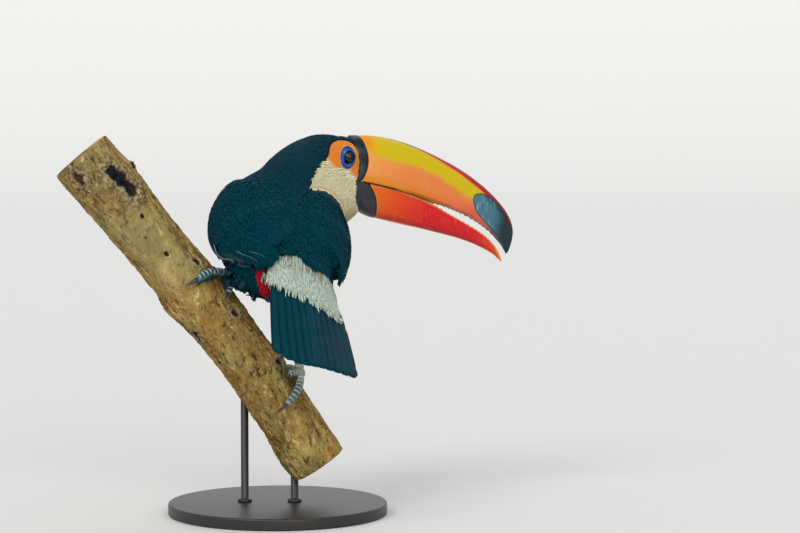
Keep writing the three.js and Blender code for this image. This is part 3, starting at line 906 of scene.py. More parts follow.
DARK = (0.0003, 0.034, 0.050)
DARK_HEAD = (0.006, 0.029, 0.046)
CREAM = (0.74, 0.68, 0.44)
WHITE = (0.45, 0.55, 0.46)
RED = (0.36, 0.006, 0.018)
# Painted shade: the dark brown at the white rump's upper edge, under the overhanging back.
RUMP_EDGE_SHADE = (0.10, 0.085, 0.05)


def skin_material():
    """Dark, cream, orange and blue skin, grey-blue legs, horn at the bill's base, and the mouth's lining."""
    paint = Paint("skin", Roughness=0.55, Specular_IOR_Level=0.25, Specular_Tint=(0.5, 0.8, 1, 1))
    ring, horn = paint.attribute("ring"), paint.attribute("horn")
    grain = paint.noise(1.3, 3)
    broad = paint.noise(7, 3)
    orange = paint.mix(broad, (0.55, 0.12, 0.004), (0.58, 0.19, 0.010))
    orange = paint.mix(paint.step(grain, 0.35, 0.7, 0.0, 0.35), orange, (0.64, 0.25, 0.03))
    warm = paint.step(paint.attribute("warm"), 0.15, 0.8)
    pale = paint.mix(warm, (0.66, 0.54, 0.32), orange)
    edge = paint.plus(paint.attribute("pale"), paint.times(paint.minus(grain, 0.5), 1.6))
    colour = paint.mix(paint.step(edge, -0.35, 0.35), DARK_HEAD, pale)
    colour = paint.mix(paint.attribute("rump"), colour, WHITE)
    colour = paint.mix(paint.attribute("under"), colour, RED)
    blue = paint.mix(paint.step(ring, 0.3, 3.2), (0.004, 0.042, 0.32), (0.008, 0.040, 0.23))
    blue = paint.mix(paint.step(broad, 0.45, 0.7), blue, (0.035, 0.14, 0.46))
    blue = paint.mix(paint.step(ring, 0.9, 0.25), blue, (0.006, 0.012, 0.08))
    pale_rim = paint.step(ring, -1.5, -0.5, 0.0, 0.6)
    colour = paint.mix(pale_rim, colour, (0.78, 0.40, 0.14))
    colour = paint.mix(paint.step(ring, -0.3, 0.1), colour, blue)
    colour = paint.mix(paint.step(paint.attribute("lid"), -0.9, -0.2), colour, (0.004, 0.006, 0.014))
    leg = paint.mix(broad, (0.040, 0.085, 0.105), (0.12, 0.19, 0.20))
    leg = paint.mix(paint.step(grain, 0.5, 0.72), leg, (0.26, 0.32, 0.30))
    light = paint.mix(broad, (0.16, 0.21, 0.19), (0.38, 0.42, 0.34))
    leg = paint.mix(paint.attribute("light"), leg, light)
    colour = paint.mix(paint.attribute("leg"), colour, leg)
    colour = paint.mix(paint.step(horn, -0.9, -0.3), colour, (0.006, 0.007, 0.008))
    colour = paint.mix(paint.step(horn, 0.3, 0.8), colour, (0.032, 0.033, 0.040))
    mouth = paint.step(paint.attribute("station"), 14, 40)
    mouth = paint.mix(mouth, (0.06, 0.02, 0.012), (0.40, 0.12, 0.014))
    colour = paint.mix(paint.step(paint.attribute("mouth"), 0.35, 0.75), colour, mouth)
    paint.set("Base Color", colour)
    paint.bump(paint.noise(0.7, 4), 0.12, 0.6)
    return paint.material


# ---- Feather materials ----
def feather_material(name, colours, fringe, fringe_share, roughness, tint, specular=0.3):
    """Vanes with fine barbs: colours by mark, slight changes of tone, and a paler fringe."""
    paint = Paint(name, Roughness=roughness, Specular_Tint=(*tint, 1), Specular_IOR_Level=specular)
    tone = paint.attribute("tone")
    along = paint.attribute("along")
    across = paint.math("ABSOLUTE", paint.attribute("across"))
    colour = paint.ramp(paint.attribute("mark"), colours)
    lighter = paint.mix(paint.times(tone, 0.45), colour, paint.mix(0.5, colour, fringe))
    patches = paint.step(paint.noise(22, 2), 0.35, 0.7, 0.0, 0.5)
    lighter = paint.mix(patches, lighter, colour)
    edge = paint.larger(paint.step(along, 0.78, 1.0), paint.step(across, 0.82, 1.0))
    lighter = paint.mix(paint.times(edge, fringe_share), lighter, fringe)
    paint.set("Base Color", lighter)
    slant = paint.plus(along, paint.times(across, -0.18))
    barbs = paint.math("SINE", paint.times(slant, 160.0))
    paint.bump(paint.times(barbs, 0.5), 0.05, 0.5)
    return paint.material


def dark_material():
    """The blue-green black of the cap, back, wings and belly."""
    return feather_material(
        "feathers_black",
        [(0, DARK), (1, DARK_HEAD)],
        fringe=(0.004, 0.056, 0.078),
        fringe_share=0.22,
        roughness=0.55,
        tint=(0.05, 0.6, 1.0),
        specular=0.14,
    )


def quill_material(side):
    """The dark flight feathers: fine slanting barbs, a paler shaft and a pale outer edge."""
    paint = Paint(f"quills_{side}", Roughness=0.5, Specular_Tint=(0.05, 0.6, 1, 1), Specular_IOR_Level=0.12)
    along, across = paint.attribute("along"), paint.attribute("across")
    tone, fringe = paint.attribute("tone"), paint.attribute("mark")
    colour = paint.mix(tone, DARK, (0.001, 0.030, 0.046))
    broad = paint.step(paint.noise(26, 2), 0.35, 0.7, 0.0, 0.6)
    colour = paint.mix(broad, colour, (0.001, 0.033, 0.046))
    wide = paint.math("ABSOLUTE", across)
    shaft = paint.step(wide, 0.09, 0.03, 0.0, 0.35)
    colour = paint.mix(shaft, colour, (0.006, 0.045, 0.065))
    outer = paint.times(paint.step(across, 0.78, 0.95), paint.step(fringe, 0.0, 0.1, 0.0, 0.9))
    colour = paint.mix(outer, colour, (0.34, 0.40, 0.40))
    edge = paint.times(paint.step(fringe, 0.2, 1.0, 0.0, 0.95), paint.step(along, 0.7, 0.3, 0.5, 1.0))
    colour = paint.mix(edge, colour, (0.30, 0.38, 0.40))
    worn = 0.12 if side == "tail" else 0.6
    tip = paint.times(paint.step(along, 0.6, 1.0), paint.step(fringe, 0.0, 0.1, 0.0, worn))
    colour = paint.mix(tip, colour, (0.028, 0.058, 0.072))
    paint.set("Base Color", colour)
    slant = paint.plus(along, paint.times(wide, -0.07))
    barbs = paint.math("SINE", paint.times(slant, 420.0))
    paint.bump(paint.times(barbs, 0.5), 0.06, 0.5)
    return paint.material


# ---- The coat ----
HEAD_SPACING = 1.3
BACK_SPACING = 1.75
THIGH_SPACING = 2.3
SHANK_SPACING = 1.1


def lay_back(coat, form, roots, rise=0.0, length=17.0):
    """The soft dark vanes of the back, wings and belly, cut short where the white rump begins."""
    edge = rump_edge(roots)
    left = rng.uniform(3, 7, len(roots)) - edge
    place = TAIL.local(roots)
    beside = (place[:, 2] < -9) | (np.abs(place[:, 1] + 3) > 42)
    length = np.where(beside, length, np.minimum(length, left)) * np.ones(len(roots))
    keep = length > 4
    rise = rise + 0.9 * ease(edge, -20, -6) * ~beside
    rise = np.broadcast_to(rise, len(roots))[keep]
    lay_vanes(
        coat, form, roots[keep], length[keep], 1.1 + 0.055 * length[keep], COAT_DEPTH["body"], body_lie, BODY,
        jag=0.1, arch=0.06, ridge=0.05, rise=rise, loose=0.8, most_off=0.3,
    )


def make_head_coat(form, group, dark):
    """Small vanes on the head, neck and bib, each in the colour of the place it shows at."""
    marks = markings(form.verts)
    front = np.isin(group, ["head", "neck"]) & (bare_skin(marks) < 0.5)
    near_pale = (marks["pale"] > -14) & np.isin(group, ["trunk", "neck"])
    roots = scatter(form, front | near_pale, HEAD_SPACING, 3)
    place = HEAD.local(roots)
    length = 4.0 + 7.5 * ease(-place[:, 0] - 0.5 * place[:, 2], -12, 95)
    pale_zone = markings(roots)["pale"] > 0
    length = np.where(pale_zone, 7.5, length)

    def lie(points):
        share = ease(markings(points)["pale"], -6, 6)[:, None]
        return unit(body_lie(points) * (1 - share) + face_lie(points) * share)

    shown = roots + lie(roots) * 0.75 * length[:, None]
    seen = markings(shown)
    pale = seen["pale"] + rng.normal(0, 0.35, len(roots)) > 0
    red = ease(seen["band"] + rng.normal(0, 0.8, len(roots)), BIB_RED + 1.0, BIB_RED - 1.0)
    brown = 0.5 * ease(place[:, 0] + 0.22 * place[:, 2], -16, -3) * ease(-place[:, 2], 16, 34)
    brown = brown * rng.uniform(0.3, 1, len(roots))
    narrow = np.where(pale, 0.65, 0.75 + 0.7 * ease(length, 4, 11))
    tips = roots + lie(roots) * length[:, None]
    below = shown - HEAD.way(0, 0, 1) * 1.5
    hidden = (nearest_gap(below, WINGS) < 2.2) | (nearest_gap(tips, WINGS) < 2.0)
    hidden |= np.char.startswith(group[form.faces[form.face_at(tips)][:, 0]], "wing")
    keep = ~hidden & (HEAD.local(shown)[:, 2] < 27) & (seen["horn"] < -0.5) & (markings(tips)["horn"] < 0)
    cream = feather_material(
        "feathers_cream", [(0, CREAM), (0.5, (0.55, 0.34, 0.13)), (1, RED)],
        (0.78, 0.73, 0.50), 0.3, 0.6, (1, 1, 1), 0.15,
    )
    for name, slot, chosen, mark, material in (
        ("head_feathers", "feathers_black", ~pale, np.ones(len(roots)), dark),
        ("bib_feathers", "feathers_cream", pale & keep, np.maximum(red, brown), cream),
    ):
        coat = Coat()
        lay_vanes(
            coat, form, roots[chosen], length[chosen], narrow[chosen], COAT_DEPTH["head"], lie, HEAD,
            mark[chosen], jag=0.15, arch=0.06, ridge=0.1, loose=0.8, most_off=0.3,
        )
        coat.piece(name, material, slot)


def make_back_coat(form, group, dark):
    """The dark vanes of the back, and those of the belly down to the red under the tail."""
    back, belly = Coat(), Coat()
    pale = markings(form.verts)["pale"]
    chosen = np.isin(group, ["trunk", "neck", "tail_coverts_upper"]) & (pale < -8)
    roots = scatter(form, chosen, BACK_SPACING, 5)
    over = BODY.local(roots)[:, 2] > 0
    lay_back(back, form, roots[over])
    lay_back(belly, form, roots[~over])
    chosen = (group == "tail_coverts_lower") & (vent_left(form.verts) < 2)
    lay_back(belly, form, scatter(form, chosen, BACK_SPACING, 6), length=7.0)
    back.piece("back_feathers", dark, "feathers_black")
    belly.piece("belly_feathers", dark, "feathers_black")


def make_thighs(form, group, dark, leg_verts, leg_faces):
    """Loose dark vanes on the thighs, and short ones down the left shank."""
    coat = Coat()
    heels = {side: middle_of(f"foot_{side}") + (0, 0, 6) for side in ("left", "right")}
    for side, heel in heels.items():
        roots = scatter(form, group == f"thigh_{side}", THIGH_SPACING, 7)

        def down(points):
            return unit(unit(heel - points) + 0.35 * body_lie(points))

        lay_vanes(coat, form, roots, 13, 1.5, 2.4, down, BODY, jag=0.25, rise=0.5, loose=5)
    shank = Form(leg_verts, leg_faces)
    on, normal = form.nearest(leg_verts)
    out = ((leg_verts - on) * normal).sum(1)
    chosen = (distance_to(leg_verts, "shank_left") < 8) & (nearest_gap(leg_verts, LEFT_TOES) > 2)
    roots = scatter(shank, chosen & (out < 6) & (out > -1), SHANK_SPACING, 8)

    def to_heel(points):
        return unit(heels["left"] - points)

    lay_vanes(coat, shank, roots, 5.5, 0.9, 0.8, to_heel, BODY, jag=0.25, rise=0.9, loose=3)
    coat.piece("thigh_feathers", dark, "feathers_black")


# ---- Wings ----
# Rows of long feathers: how many, and the roots' place along the wing. Then for the first and the last
# feather the tip's place, the root's and the tip's share of the wing's depth, and the height over the
# form. Last, the half width and how pale the outer edge is.
WING_ROWS = [
    (7, 0.35, (0.80, 1.0), (1.0, 0.88), (0.985, 0.55), (-0.9, -0.5), 4.6, 0.1),
    (8, 0.35, (0.97, 0.82), (0.86, 0.36), (0.46, 0.08), (-0.4, -0.1), 6.8, 0.025),
    (3, 0.35, (0.86, 0.76), (0.34, 0.1), (0.12, -0.02), (0.0, 0.15), 8.5, 0.012),
    (12, 0.25, (0.62, 0.52), (0.98, 0.1), (0.96, 0.08), (0.0, 0.1), 6.2, 0.008),
]
# The pale leading edges that show: places along the wing, shares of its depth, and how pale.
PALE_EDGES = [
    (
        (0.57, 0.60, 0.64, 0.675, 0.72, 0.80, 0.88, 0.94),
        (0.84, 0.89, 0.95, 0.975, 0.99, 0.985, 0.93, 0.86),
        1.0,
    ),
    ((0.79, 0.82, 0.88, 0.95), (0.79, 0.75, 0.68, 0.58), 0.5),
    ((0.86, 0.90, 0.95), (0.60, 0.50, 0.31), 0.45),
]
EDGE_POINTS = 25
BLADE_PATCH = 0.05  # a long feather's size on the baking map


class Wing:
    """One folded wing's outer side: place from shoulder to tip, and share from upper to lower edge."""

    def __init__(self, form, group, side):
        self.form = form
        self.sign = 1 if side == "left" else -1
        verts, _ = node_arrays(f"wing_{side}")
        x, y, z = BODY.local(verts).T
        angle = np.degrees(np.arctan2(np.abs(y), z))
        self.front, self.rear = x.max(), x.min()
        self.grid = np.linspace(self.rear + 1.5, self.front - 1.5, 15)
        near = [angle[np.abs(x - station) < 7] for station in self.grid]
        self.upper = np.array([values.min() for values in near])
        self.lower = np.array([values.max() for values in near])
        kept = np.isin(group, [f"wing_{side}", "trunk"])[form.faces[:, 0]]
        self.tree = BVHTree.FromPolygons(form.verts.tolist(), form.faces[kept].tolist())

    def share_of(self, points):
        """Station, and share of the way from the upper to the lower edge, of points."""
        x, y, z = BODY.local(points).T
        angle = np.degrees(np.arctan2(np.abs(y), z))
        high, low = np.interp(x, self.grid, self.upper), np.interp(x, self.grid, self.lower)
        return x, (angle - high) / np.maximum(low - high, 1)

    def path(self, places, shares):
        """Points and normals along lines over the wing."""
        stations = self.front + (self.rear - self.front) * places
        low = np.interp(stations, self.grid, self.lower) - 2.0
        high = np.interp(stations, self.grid, self.upper) + 1.5
        angle = np.radians(high + (low - high) * shares)
        radial = np.stack([np.zeros_like(angle), self.sign * np.sin(angle), np.cos(angle)], -1)
        axis = np.stack([stations, np.zeros_like(stations), np.zeros_like(stations)], -1)
        shape = radial.shape
        far = 130.0
        starts = BODY.world((axis + radial * far).reshape(-1, 3))
        outward = radial @ BODY.turn.T
        rays = zip(starts.tolist(), (-outward.reshape(-1, 3)).tolist())
        hits = [self.tree.ray_cast(at, way, far) for at, way in rays]
        reach = np.array([np.nan if h[3] is None else far - h[3] for h in hits]).reshape(shape[:2])
        step = np.arange(shape[1])
        for row in reach:
            found = ~np.isnan(row)
            row[:] = np.interp(step, step[found], row[found]) if found.any() else 50.0
        for _ in range(3):
            reach[:, 1:-1] = (reach[:, :-2] + 2 * reach[:, 1:-1] + reach[:, 2:]) / 4
        points = BODY.world(axis + radial * reach[..., None])
        _, normals = self.form.nearest(points.reshape(-1, 3))
        normals = normals.reshape(shape)
        normals = np.where((normals * outward).sum(-1, keepdims=True) > 0.5, normals, outward)
        for _ in range(4):
            normals[:, 1:-1] = unit(normals[:, :-2] + 2 * normals[:, 1:-1] + normals[:, 2:])
        return points, normals


BLADE_PLACES = np.array([1, 0.55, 0, -0.55, -1])
BLADE_ACROSS = np.array([1, 0.55, 0, -0.55, -1, -0.55, 0, 0.55])


def blade_rings(
    form, points, normals, half_width, heights, thickness=0.4, shaft=0.22, tilt=0.0, round_from=0.84
):
    """Large closed vanes with a raised shaft, whose edges follow the form where it is near."""
    cling = 2.5
    count, sections, _ = points.shape
    ways = unit(np.gradient(points, axis=1))
    sides = unit(np.cross(normals, ways))
    share = np.linspace(0, 1, sections)
    rounding = np.maximum(0, (share - round_from) / (1.005 - round_from))
    outline = np.minimum(0.45 + 1.6 * share, 1) * np.sqrt(np.clip(1 - rounding ** 2, 0.02, 1))
    notch = np.where(rng.random((count, sections, 2)) < 0.12, 0.9, 1.0)
    notch[:, :2] = 1
    width = half_width[:, None] * outline[None]
    top = points[:, :, None] + sides[:, :, None] * width[..., None, None] * BLADE_PLACES[:, None]
    top[:, :, 0] = points + sides * (width * notch[..., 0])[..., None]
    top[:, :, 4] = points - sides * (width * notch[..., 1])[..., None]
    if form is not None:
        on, _ = form.nearest(top.reshape(-1, 3))
        on = on.reshape(top.shape)
        near = np.linalg.norm(on - top, axis=-1, keepdims=True) < cling
        top = np.where(near, on, top)
    lift = heights[:, :, None] + shaft * (np.abs(BLADE_PLACES) < 0.1) - 0.1 * (np.abs(BLADE_PLACES) > 0.9)
    lift = lift + tilt * BLADE_PLACES * outline[None, :, None]
    top = top + normals[:, :, None] * lift[..., None]
    under = top[:, :, [3, 2, 1]] - normals[:, :, None] * thickness
    return np.concatenate([top, under], 2)


def far_from(points, others, gap):
    """True where a point is at least a gap away from all the others."""
    tree = KDTree(len(others))
    for index, place in enumerate(others.tolist()):
        tree.insert(place, index)
    tree.balance()
    return np.array([tree.find(point)[2] > gap for point in points.tolist()])


def add_long_feathers(coat, form, wing):
    """The rows of flight feathers and greater coverts."""
    along = np.linspace(0, 1, 21)[None]
    for count, root, tip, start, end, rise, half, fringe in WING_ROWS:
        share = np.linspace(0, 1, count)
        tips, starts, ends, rises = (
            first + (last - first) * share for first, last in (tip, start, end, rise)
        )
        places = root + (tips[:, None] - root) * along
        shares = starts[:, None] + (ends - starts)[:, None] * along
        points, normals = wing.path(places, shares)
        heights = rises[:, None] - 3.4 * (1 - along) ** 2
        half_width = np.full(count, float(half))
        rings = blade_rings(form, points, normals, half_width, heights, 0.3, 0.12, tilt=-0.17 * wing.sign)
        spots = unwrapped(points[:, 10], BODY)
        tone = rng.uniform(0, 1, count)
        coat.add(rings, -wing.sign * BLADE_ACROSS, spots, tone, np.full(count, fringe), BLADE_PATCH)


def add_pale_edges(coat, wing):
    """Thin pale vanes along the leading edges that show."""
    for places, shares, mark in PALE_EDGES:
        dense = np.linspace(0, len(places) - 1, EDGE_POINTS)
        places = np.interp(dense, np.arange(len(places)), places)[None]
        shares = np.interp(dense, np.arange(len(shares)), shares)[None]
        for _ in range(8):
            places[:, 1:-1] = (places[:, :-2] + places[:, 2:]) / 2
            shares[:, 1:-1] = (shares[:, :-2] + shares[:, 2:]) / 2
        points, normals = wing.path(places, shares)
        half_width = np.array([0.35 + 0.2 * mark])
        heights = np.full((1, EDGE_POINTS), 0.75)
        rings = blade_rings(None, points, normals, half_width, heights, 0.4, 0.1)
        spots = unwrapped(points[:, 10], BODY)
        coat.add(rings, BLADE_ACROSS, spots, np.zeros(1), np.array([mark]), BLADE_PATCH)


def make_wing_coat(form, group, dark):
    """Flight feathers and greater coverts as long vanes, and soft small coverts over the rest."""
    for side in ("left", "right"):
        wing = Wing(form, group, side)
        long = Coat()
        add_long_feathers(long, form, wing)
        add_pale_edges(long, wing)
        long.piece(f"wing_quills_{side}", quill_material(side), "feathers_black")
        own = group == f"wing_{side}"
        station, share = wing.share_of(form.verts)
        place = (wing.front - station) / (wing.front - wing.rear)
        cover = own & ((place < 0.44) | (share < 0.76 - 0.25 * ease(place, 0.75, 1.0)))
        bare = own & ~cover & far_from(form.verts, np.concatenate(long.verts), 2.8)
        small = Coat()
        lay_back(small, form, scatter(form, cover, BACK_SPACING, 9), rise=0.5)
        rim = scatter(form, bare, BACK_SPACING, 10)
        to_tip = wing.share_of(rim)[0] - wing.rear
        rim, to_tip = rim[to_tip > 2], to_tip[to_tip > 2]
        lay_back(small, form, rim, rise=-0.8, length=np.clip(to_tip + 2, 4.5, 10))
        small.piece(f"wing_coverts_{side}", dark, "feathers_black")


# ---- Rump, vent and tail ----
# The white rump in the tail's frame: its upper edge's x by y, and how far it reaches by the share across.
RUMP_TOP = [(-42, -12), (-25, -9), (-11, -12), (-2, -7), (8, 0), (22, 3), (30, -4), (36, -12)]
RUMP_REACH = [
    (-1, 27), (-0.9, 30), (-0.64, 38), (-0.45, 47), (-0.3, 51), (-0.12, 53), (-0.04, 39), (0.05, 52),
    (0.2, 55), (0.5, 57), (1, 62),
]


def rump_edge(points):
    """How far points lie below the white rump's upper edge, towards the tail's end."""
    place = TAIL.local(points)
    return along_line(place[:, 1], RUMP_TOP) - place[:, 0]


def vent_left(points):
    """How far points lie above the lower edge of the red under the tail's root."""
    place = TAIL.local(points)
    return 52 - 14 * np.clip((place[:, 1] + 3.5) / 40, -1, 1) ** 2 + place[:, 0]


def make_rump(form, group):
    """Long loose tufts: white over the root of the tail and red under it."""
    # The white tufts turn dark brown where the mark is 1: painted shade at the rump's upper edge.
    rump_paint = feather_material(
        "feathers_white", [(0, WHITE), (1, RUMP_EDGE_SHADE)], (0.56, 0.62, 0.53), 0.3, 0.6, (1, 1, 1), 0.15
    )
    red_paint = feather_material(
        "feathers_red",
        [(0, RED), (1, (0.20, 0.003, 0.01))],
        fringe=(0.36, 0.012, 0.022),
        fringe_share=0.3,
        roughness=0.6,
        tint=(1, 0.5, 0.5),
        specular=0.15,
    )
    for name, node, spacing, longest, paint, slot, seed in (
        ("rump_feathers", "tail_coverts_upper", 1.0, 21, rump_paint, "feathers_white", 21),
        ("vent_feathers", "tail_coverts_lower", 1.3, 15, red_paint, "feathers_red", 23),
    ):
        upper = node == "tail_coverts_upper"
        if upper:
            root_place = TAIL.local(form.verts)
            trunk = (group == "trunk") & (root_place[:, 0] < 8) & (np.abs(root_place[:, 1] + 3.5) < 36)
            chosen = (group == node) | (trunk & (rump_edge(form.verts) > 0))
            chosen &= root_place[:, 2] > -8
        else:
            chosen = (group == node) & (vent_left(form.verts) > -2)
        roots = scatter(form, chosen, spacing, seed)
        _, normal = form.nearest(roots)
        place = TAIL.local(roots)
        across = np.clip(-(place[:, 1] + 3.5) / 37, -1, 1)
        tufted = 2.2 * np.sin(place[:, 1] * 0.9) + 1.5 * np.sin(place[:, 1] * 2.3 + 1)
        if upper:
            left = along_line(across, RUMP_REACH) + tufted + place[:, 0]
            fit = (normal @ TAIL.way(0, 0, 1) > 0.05) & (rump_edge(roots) > rng.uniform(-2, 1, len(roots)))
        else:
            left = vent_left(roots) + 0.5 * tufted
            fit = np.abs(normal @ TAIL.way(-1, 0, 0)) < 0.85
            fit &= distance_to(roots, "wing_left") > 3
        length = longest * rng.uniform(0.6, 1.1, len(roots))
        length = np.minimum(length, left + rng.normal(0, 1.0, len(roots)))
        fit &= length > 4
        roots, length = roots[fit], length[fit]
        # Tufts near the rump's upper edge get the dark brown of the mark: painted shade under the overhanging
        # back.
        edge = ease(-rump_edge(roots), -6, 0) * rng.uniform(0.1, 0.9, len(roots))
        mark = edge if upper else rng.uniform(0, 0.5, len(roots))

        def lie(points):
            fan = 0.010 * (TAIL.local(points)[:, 1:2] + 3.5)
            return unit(tail_lie(points) + fan * TAIL.way(0, 1, 0))

        coat = Coat()
        lay_vanes(
            coat, form, roots, length, rng.uniform(0.6, 1.25, len(roots)), 2.0, lie, TAIL, mark,
            steps=5, jag=0.2, arch=0.06, ridge=0.1, rise=0.4, tip=0.12, loose=14 if upper else 6, sway=0.03,
        )
        coat.piece(name, paint, slot)


TAIL_SECTIONS = 26
RECTRICES = 10
TAIL_LENGTH = 131
TAIL_GRADUATION = (19, 3)  # how much shorter the outer feathers are, on the left and on the right
TAIL_HALF_WIDTH = (29.5, 44.5)  # at the root and at the end
TAIL_SHIFT = (6.5, 2.5)  # how far the tail's middle lies to the right, at the root and at the end
TAIL_ARCH = 7
TAIL_PATCH = 0.075  # a tail feather's size on the baking map


def make_tail():
    """Ten tail feathers, the middle pair on top, in the outline of the tail's CAD node."""
    coat = Coat()
    order = np.arange(RECTRICES) - (RECTRICES - 1) / 2
    place = (order / (RECTRICES / 2))[:, None]
    along = np.linspace(0, 1, TAIL_SECTIONS)[None] ** 0.85
    graduation = np.where(place < 0, TAIL_GRADUATION[0], TAIL_GRADUATION[1])
    reach = TAIL_LENGTH + 0.8 - graduation * np.abs(place) ** 3.5
    wide = TAIL_HALF_WIDTH[0] + (TAIL_HALF_WIDTH[1] - TAIL_HALF_WIDTH[0]) * along ** 0.65
    shift = TAIL_SHIFT[0] + (TAIL_SHIFT[1] - TAIL_SHIFT[0]) * along
    wide = wide + 4.5 * ease(along, 0.15, 0.6) * ease(place, 0, 0.9)
    width = np.full(RECTRICES, 0.205 * TAIL_HALF_WIDTH[1])
    across = place / place.max() * (wide - width[:, None] * np.minimum(0.45 + 1.6 * along, 1))
    x = -(-6 + (reach + 6) * along)
    level = 1.1 - 0.34 * np.abs(order)[:, None] - TAIL_ARCH * (across / wide) ** 2
    points = TAIL.world(np.stack([x, -across - shift, level + 1.0], -1))
    tilt = -np.arctan(2 * TAIL_ARCH * across / wide ** 2) * 0.9
    normals = np.stack([np.zeros_like(tilt), np.sin(tilt), np.cos(tilt)], -1) @ TAIL.turn.T
    rings = blade_rings(None, points, normals, width, np.zeros_like(x), 0.4, 0.16, round_from=0.93)
    tone = rng.uniform(0, 1, RECTRICES)
    spots = np.stack([0.1 + 0.8 * np.arange(RECTRICES) / RECTRICES, np.full(RECTRICES, 0.5)], 1)
    coat.add(rings, BLADE_ACROSS, spots, tone, np.zeros(RECTRICES), TAIL_PATCH)
    tail = coat.piece("tail_feathers", quill_material("tail"), "feathers_black")
    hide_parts("tail")


# ---- Legs: scutes and claws ----
WIDEST_TOE = 4.6
SCUTE_ACROSS = tuple(np.concatenate([np.linspace(1, -1, 9), np.linspace(-1, 1, 5)]))
SHANK_FRONT = unit(np.array([0.2, -1, 0.25]))  # the way that the plates of a shank face


def branch_axis():
    """The perch's middle line, from the middles of slices across it."""
    verts, _ = node_arrays("perch")
    lowest = verts[verts[:, 2].argmin()]
    highest = verts[verts[:, 2].argmax()]
    way = unit(highest - lowest)
    along = (verts - lowest) @ way
    levels = np.linspace(along.min() + 8, along.max() - 8, 13)
    line = np.array([verts[np.abs(along - level) < 20].mean(0) for level in levels])
    ends = np.array([2 * line[0] - line[1], 2 * line[-1] - line[-2]])
    return np.concatenate([ends[:1], line, ends[1:]])[::-1]


def on_line(points, line):
    """For each point, the nearest place on a line: its length along it, the point and the line's way."""
    places = np.linspace(0, len(line) - 1, 400)
    dense = np.stack([np.interp(places, np.arange(len(line)), line[:, k]) for k in range(3)], 1)
    steps = np.concatenate([[0], np.cumsum(np.linalg.norm(np.diff(dense, axis=0), axis=1))])
    ways = unit(np.gradient(dense, axis=0))
    parts = np.array_split(points, max(1, len(points) // 2000))
    gaps = (np.linalg.norm(part[:, None] - dense[None], axis=2) for part in parts)
    index = np.concatenate([gap.argmin(1) for gap in gaps])
    beyond = ((points - dense[index]) * ways[index]).sum(1)
    return steps[index] + beyond, dense[index] + beyond[:, None] * ways[index], ways[index]


def toe_line(verts, name, origin, steps):
    """A toe's middle line away from the foot, and its radius, from the skin near its CAD node."""
    near = verts[distance_to(verts, name) < 1.0]
    gap = np.linalg.norm(near - origin, axis=1)
    levels = np.linspace(np.percentile(gap, 4), np.percentile(gap, 97), steps)
    window = (levels[1] - levels[0]) * 0.8
    slices = [near[np.abs(gap - level) < window] for level in levels]
    line = np.array([part.mean(0) for part in slices])
    radius = np.array([np.linalg.norm(part - middle, axis=1).mean() for part, middle in zip(slices, line)])
    return line, np.minimum(radius, WIDEST_TOE)


def scute_rings(line, radius, outward, pitch=4.2, span=78):
    """Overlapping plates over the outer side of a toe or shank."""
    length = np.concatenate([[0], np.cumsum(np.linalg.norm(np.diff(line, axis=0), axis=1))])
    count = max(3, int(length[-1] / pitch))
    sections = np.linspace(-0.5, 0.56, 5)
    centre = (np.arange(count) + 0.5) * length[-1] / count
    at = centre[:, None] + sections[None] * length[-1] / count
    middle = np.stack([np.interp(at, length, line[:, k]) for k in range(3)], -1)
    wide = np.interp(at, length, radius)
    ways = unit(np.gradient(middle, axis=1))
    up = np.stack([np.interp(at, length, outward[:, k]) for k in range(3)], -1)
    up = unit(up - (up * ways).sum(-1, keepdims=True) * ways)
    side = np.cross(up, ways)
    crown = np.array([0.05, 0.34, 0.46, 0.42, 0.12])
    rings = []
    for angle in np.radians(np.linspace(span, -span, 9)):
        out = np.cos(angle) * up + np.sin(angle) * side
        rings.append(middle + out * (wide + crown)[..., None])
    for angle in np.radians(np.linspace(-span, span, 5)):
        out = np.cos(angle) * up + np.sin(angle) * side
        rings.append(middle + out * (wide - 0.45)[..., None])
    return np.stack(rings, 2)


def make_scutes(form, leg_verts):
    """Rows of horny plates along the toes and shanks, but none inside the thighs."""
    line = branch_axis()
    coat = Coat()
    for side, clear in (("left", 8.0), ("right", 1.0)):
        pad = middle_of(f"foot_{side}")
        for name in [f"toe_{side}_{k}" for k in (1, 2, 3, 4)] + [f"shank_{side}"]:
            toe, radius = toe_line(leg_verts, name, pad, 9)
            _, on, _ = on_line(toe, line)
            outward = unit(toe - on) if name.startswith("toe") else np.tile(SHANK_FRONT, (len(toe), 1))
            rings = scute_rings(toe, radius, outward)
            if name.startswith("shank"):
                on, normal = form.nearest(rings[:, 2, 4])
                rings = rings[((rings[:, 2, 4] - on) * normal).sum(1) > clear]
            count = len(rings)
            if not count:
                continue
            light = np.full(count, float(side == "right"))
            if name.startswith("toe_right"):
                light = 1 - 0.85 * ease(np.arange(count) / count, 0.1, 0.4)
            spots = unwrapped(rings[:, 2, 4], BODY)
            coat.add(rings, SCUTE_ACROSS, spots, rng.uniform(0, 1, count), light)
    coat.piece("foot_scutes", scute_material(), "foot_skin")


def scute_material():
    """Slate-blue plates with pale rims, paler where the mark is 1."""
    paint = Paint("foot_scutes", Roughness=0.42, Specular_IOR_Level=0.4)
    along, tone = paint.attribute("along"), paint.attribute("tone")
    across = paint.math("ABSOLUTE", paint.attribute("across"))
    plate = paint.mix(tone, (0.012, 0.050, 0.080), (0.035, 0.085, 0.115))
    plate = paint.mix(paint.step(paint.noise(1.1, 4), 0.55, 0.8, 0.0, 0.6), plate, (0.12, 0.19, 0.20))
    plate = paint.mix(paint.attribute("mark"), plate, paint.mix(tone, (0.16, 0.20, 0.17), (0.34, 0.36, 0.29)))
    rim = paint.larger(paint.step(along, 0.76, 0.9), paint.step(along, 0.16, 0.04))
    rim = paint.larger(rim, paint.step(across, 0.84, 0.97))
    pale = paint.mix(paint.attribute("mark"), (0.36, 0.44, 0.44), (0.50, 0.52, 0.44))
    colour = paint.mix(rim, plate, pale)
    paint.set("Base Color", colour)
    paint.bump(paint.noise(0.6, 4), 0.1, 0.5)
    return paint.material


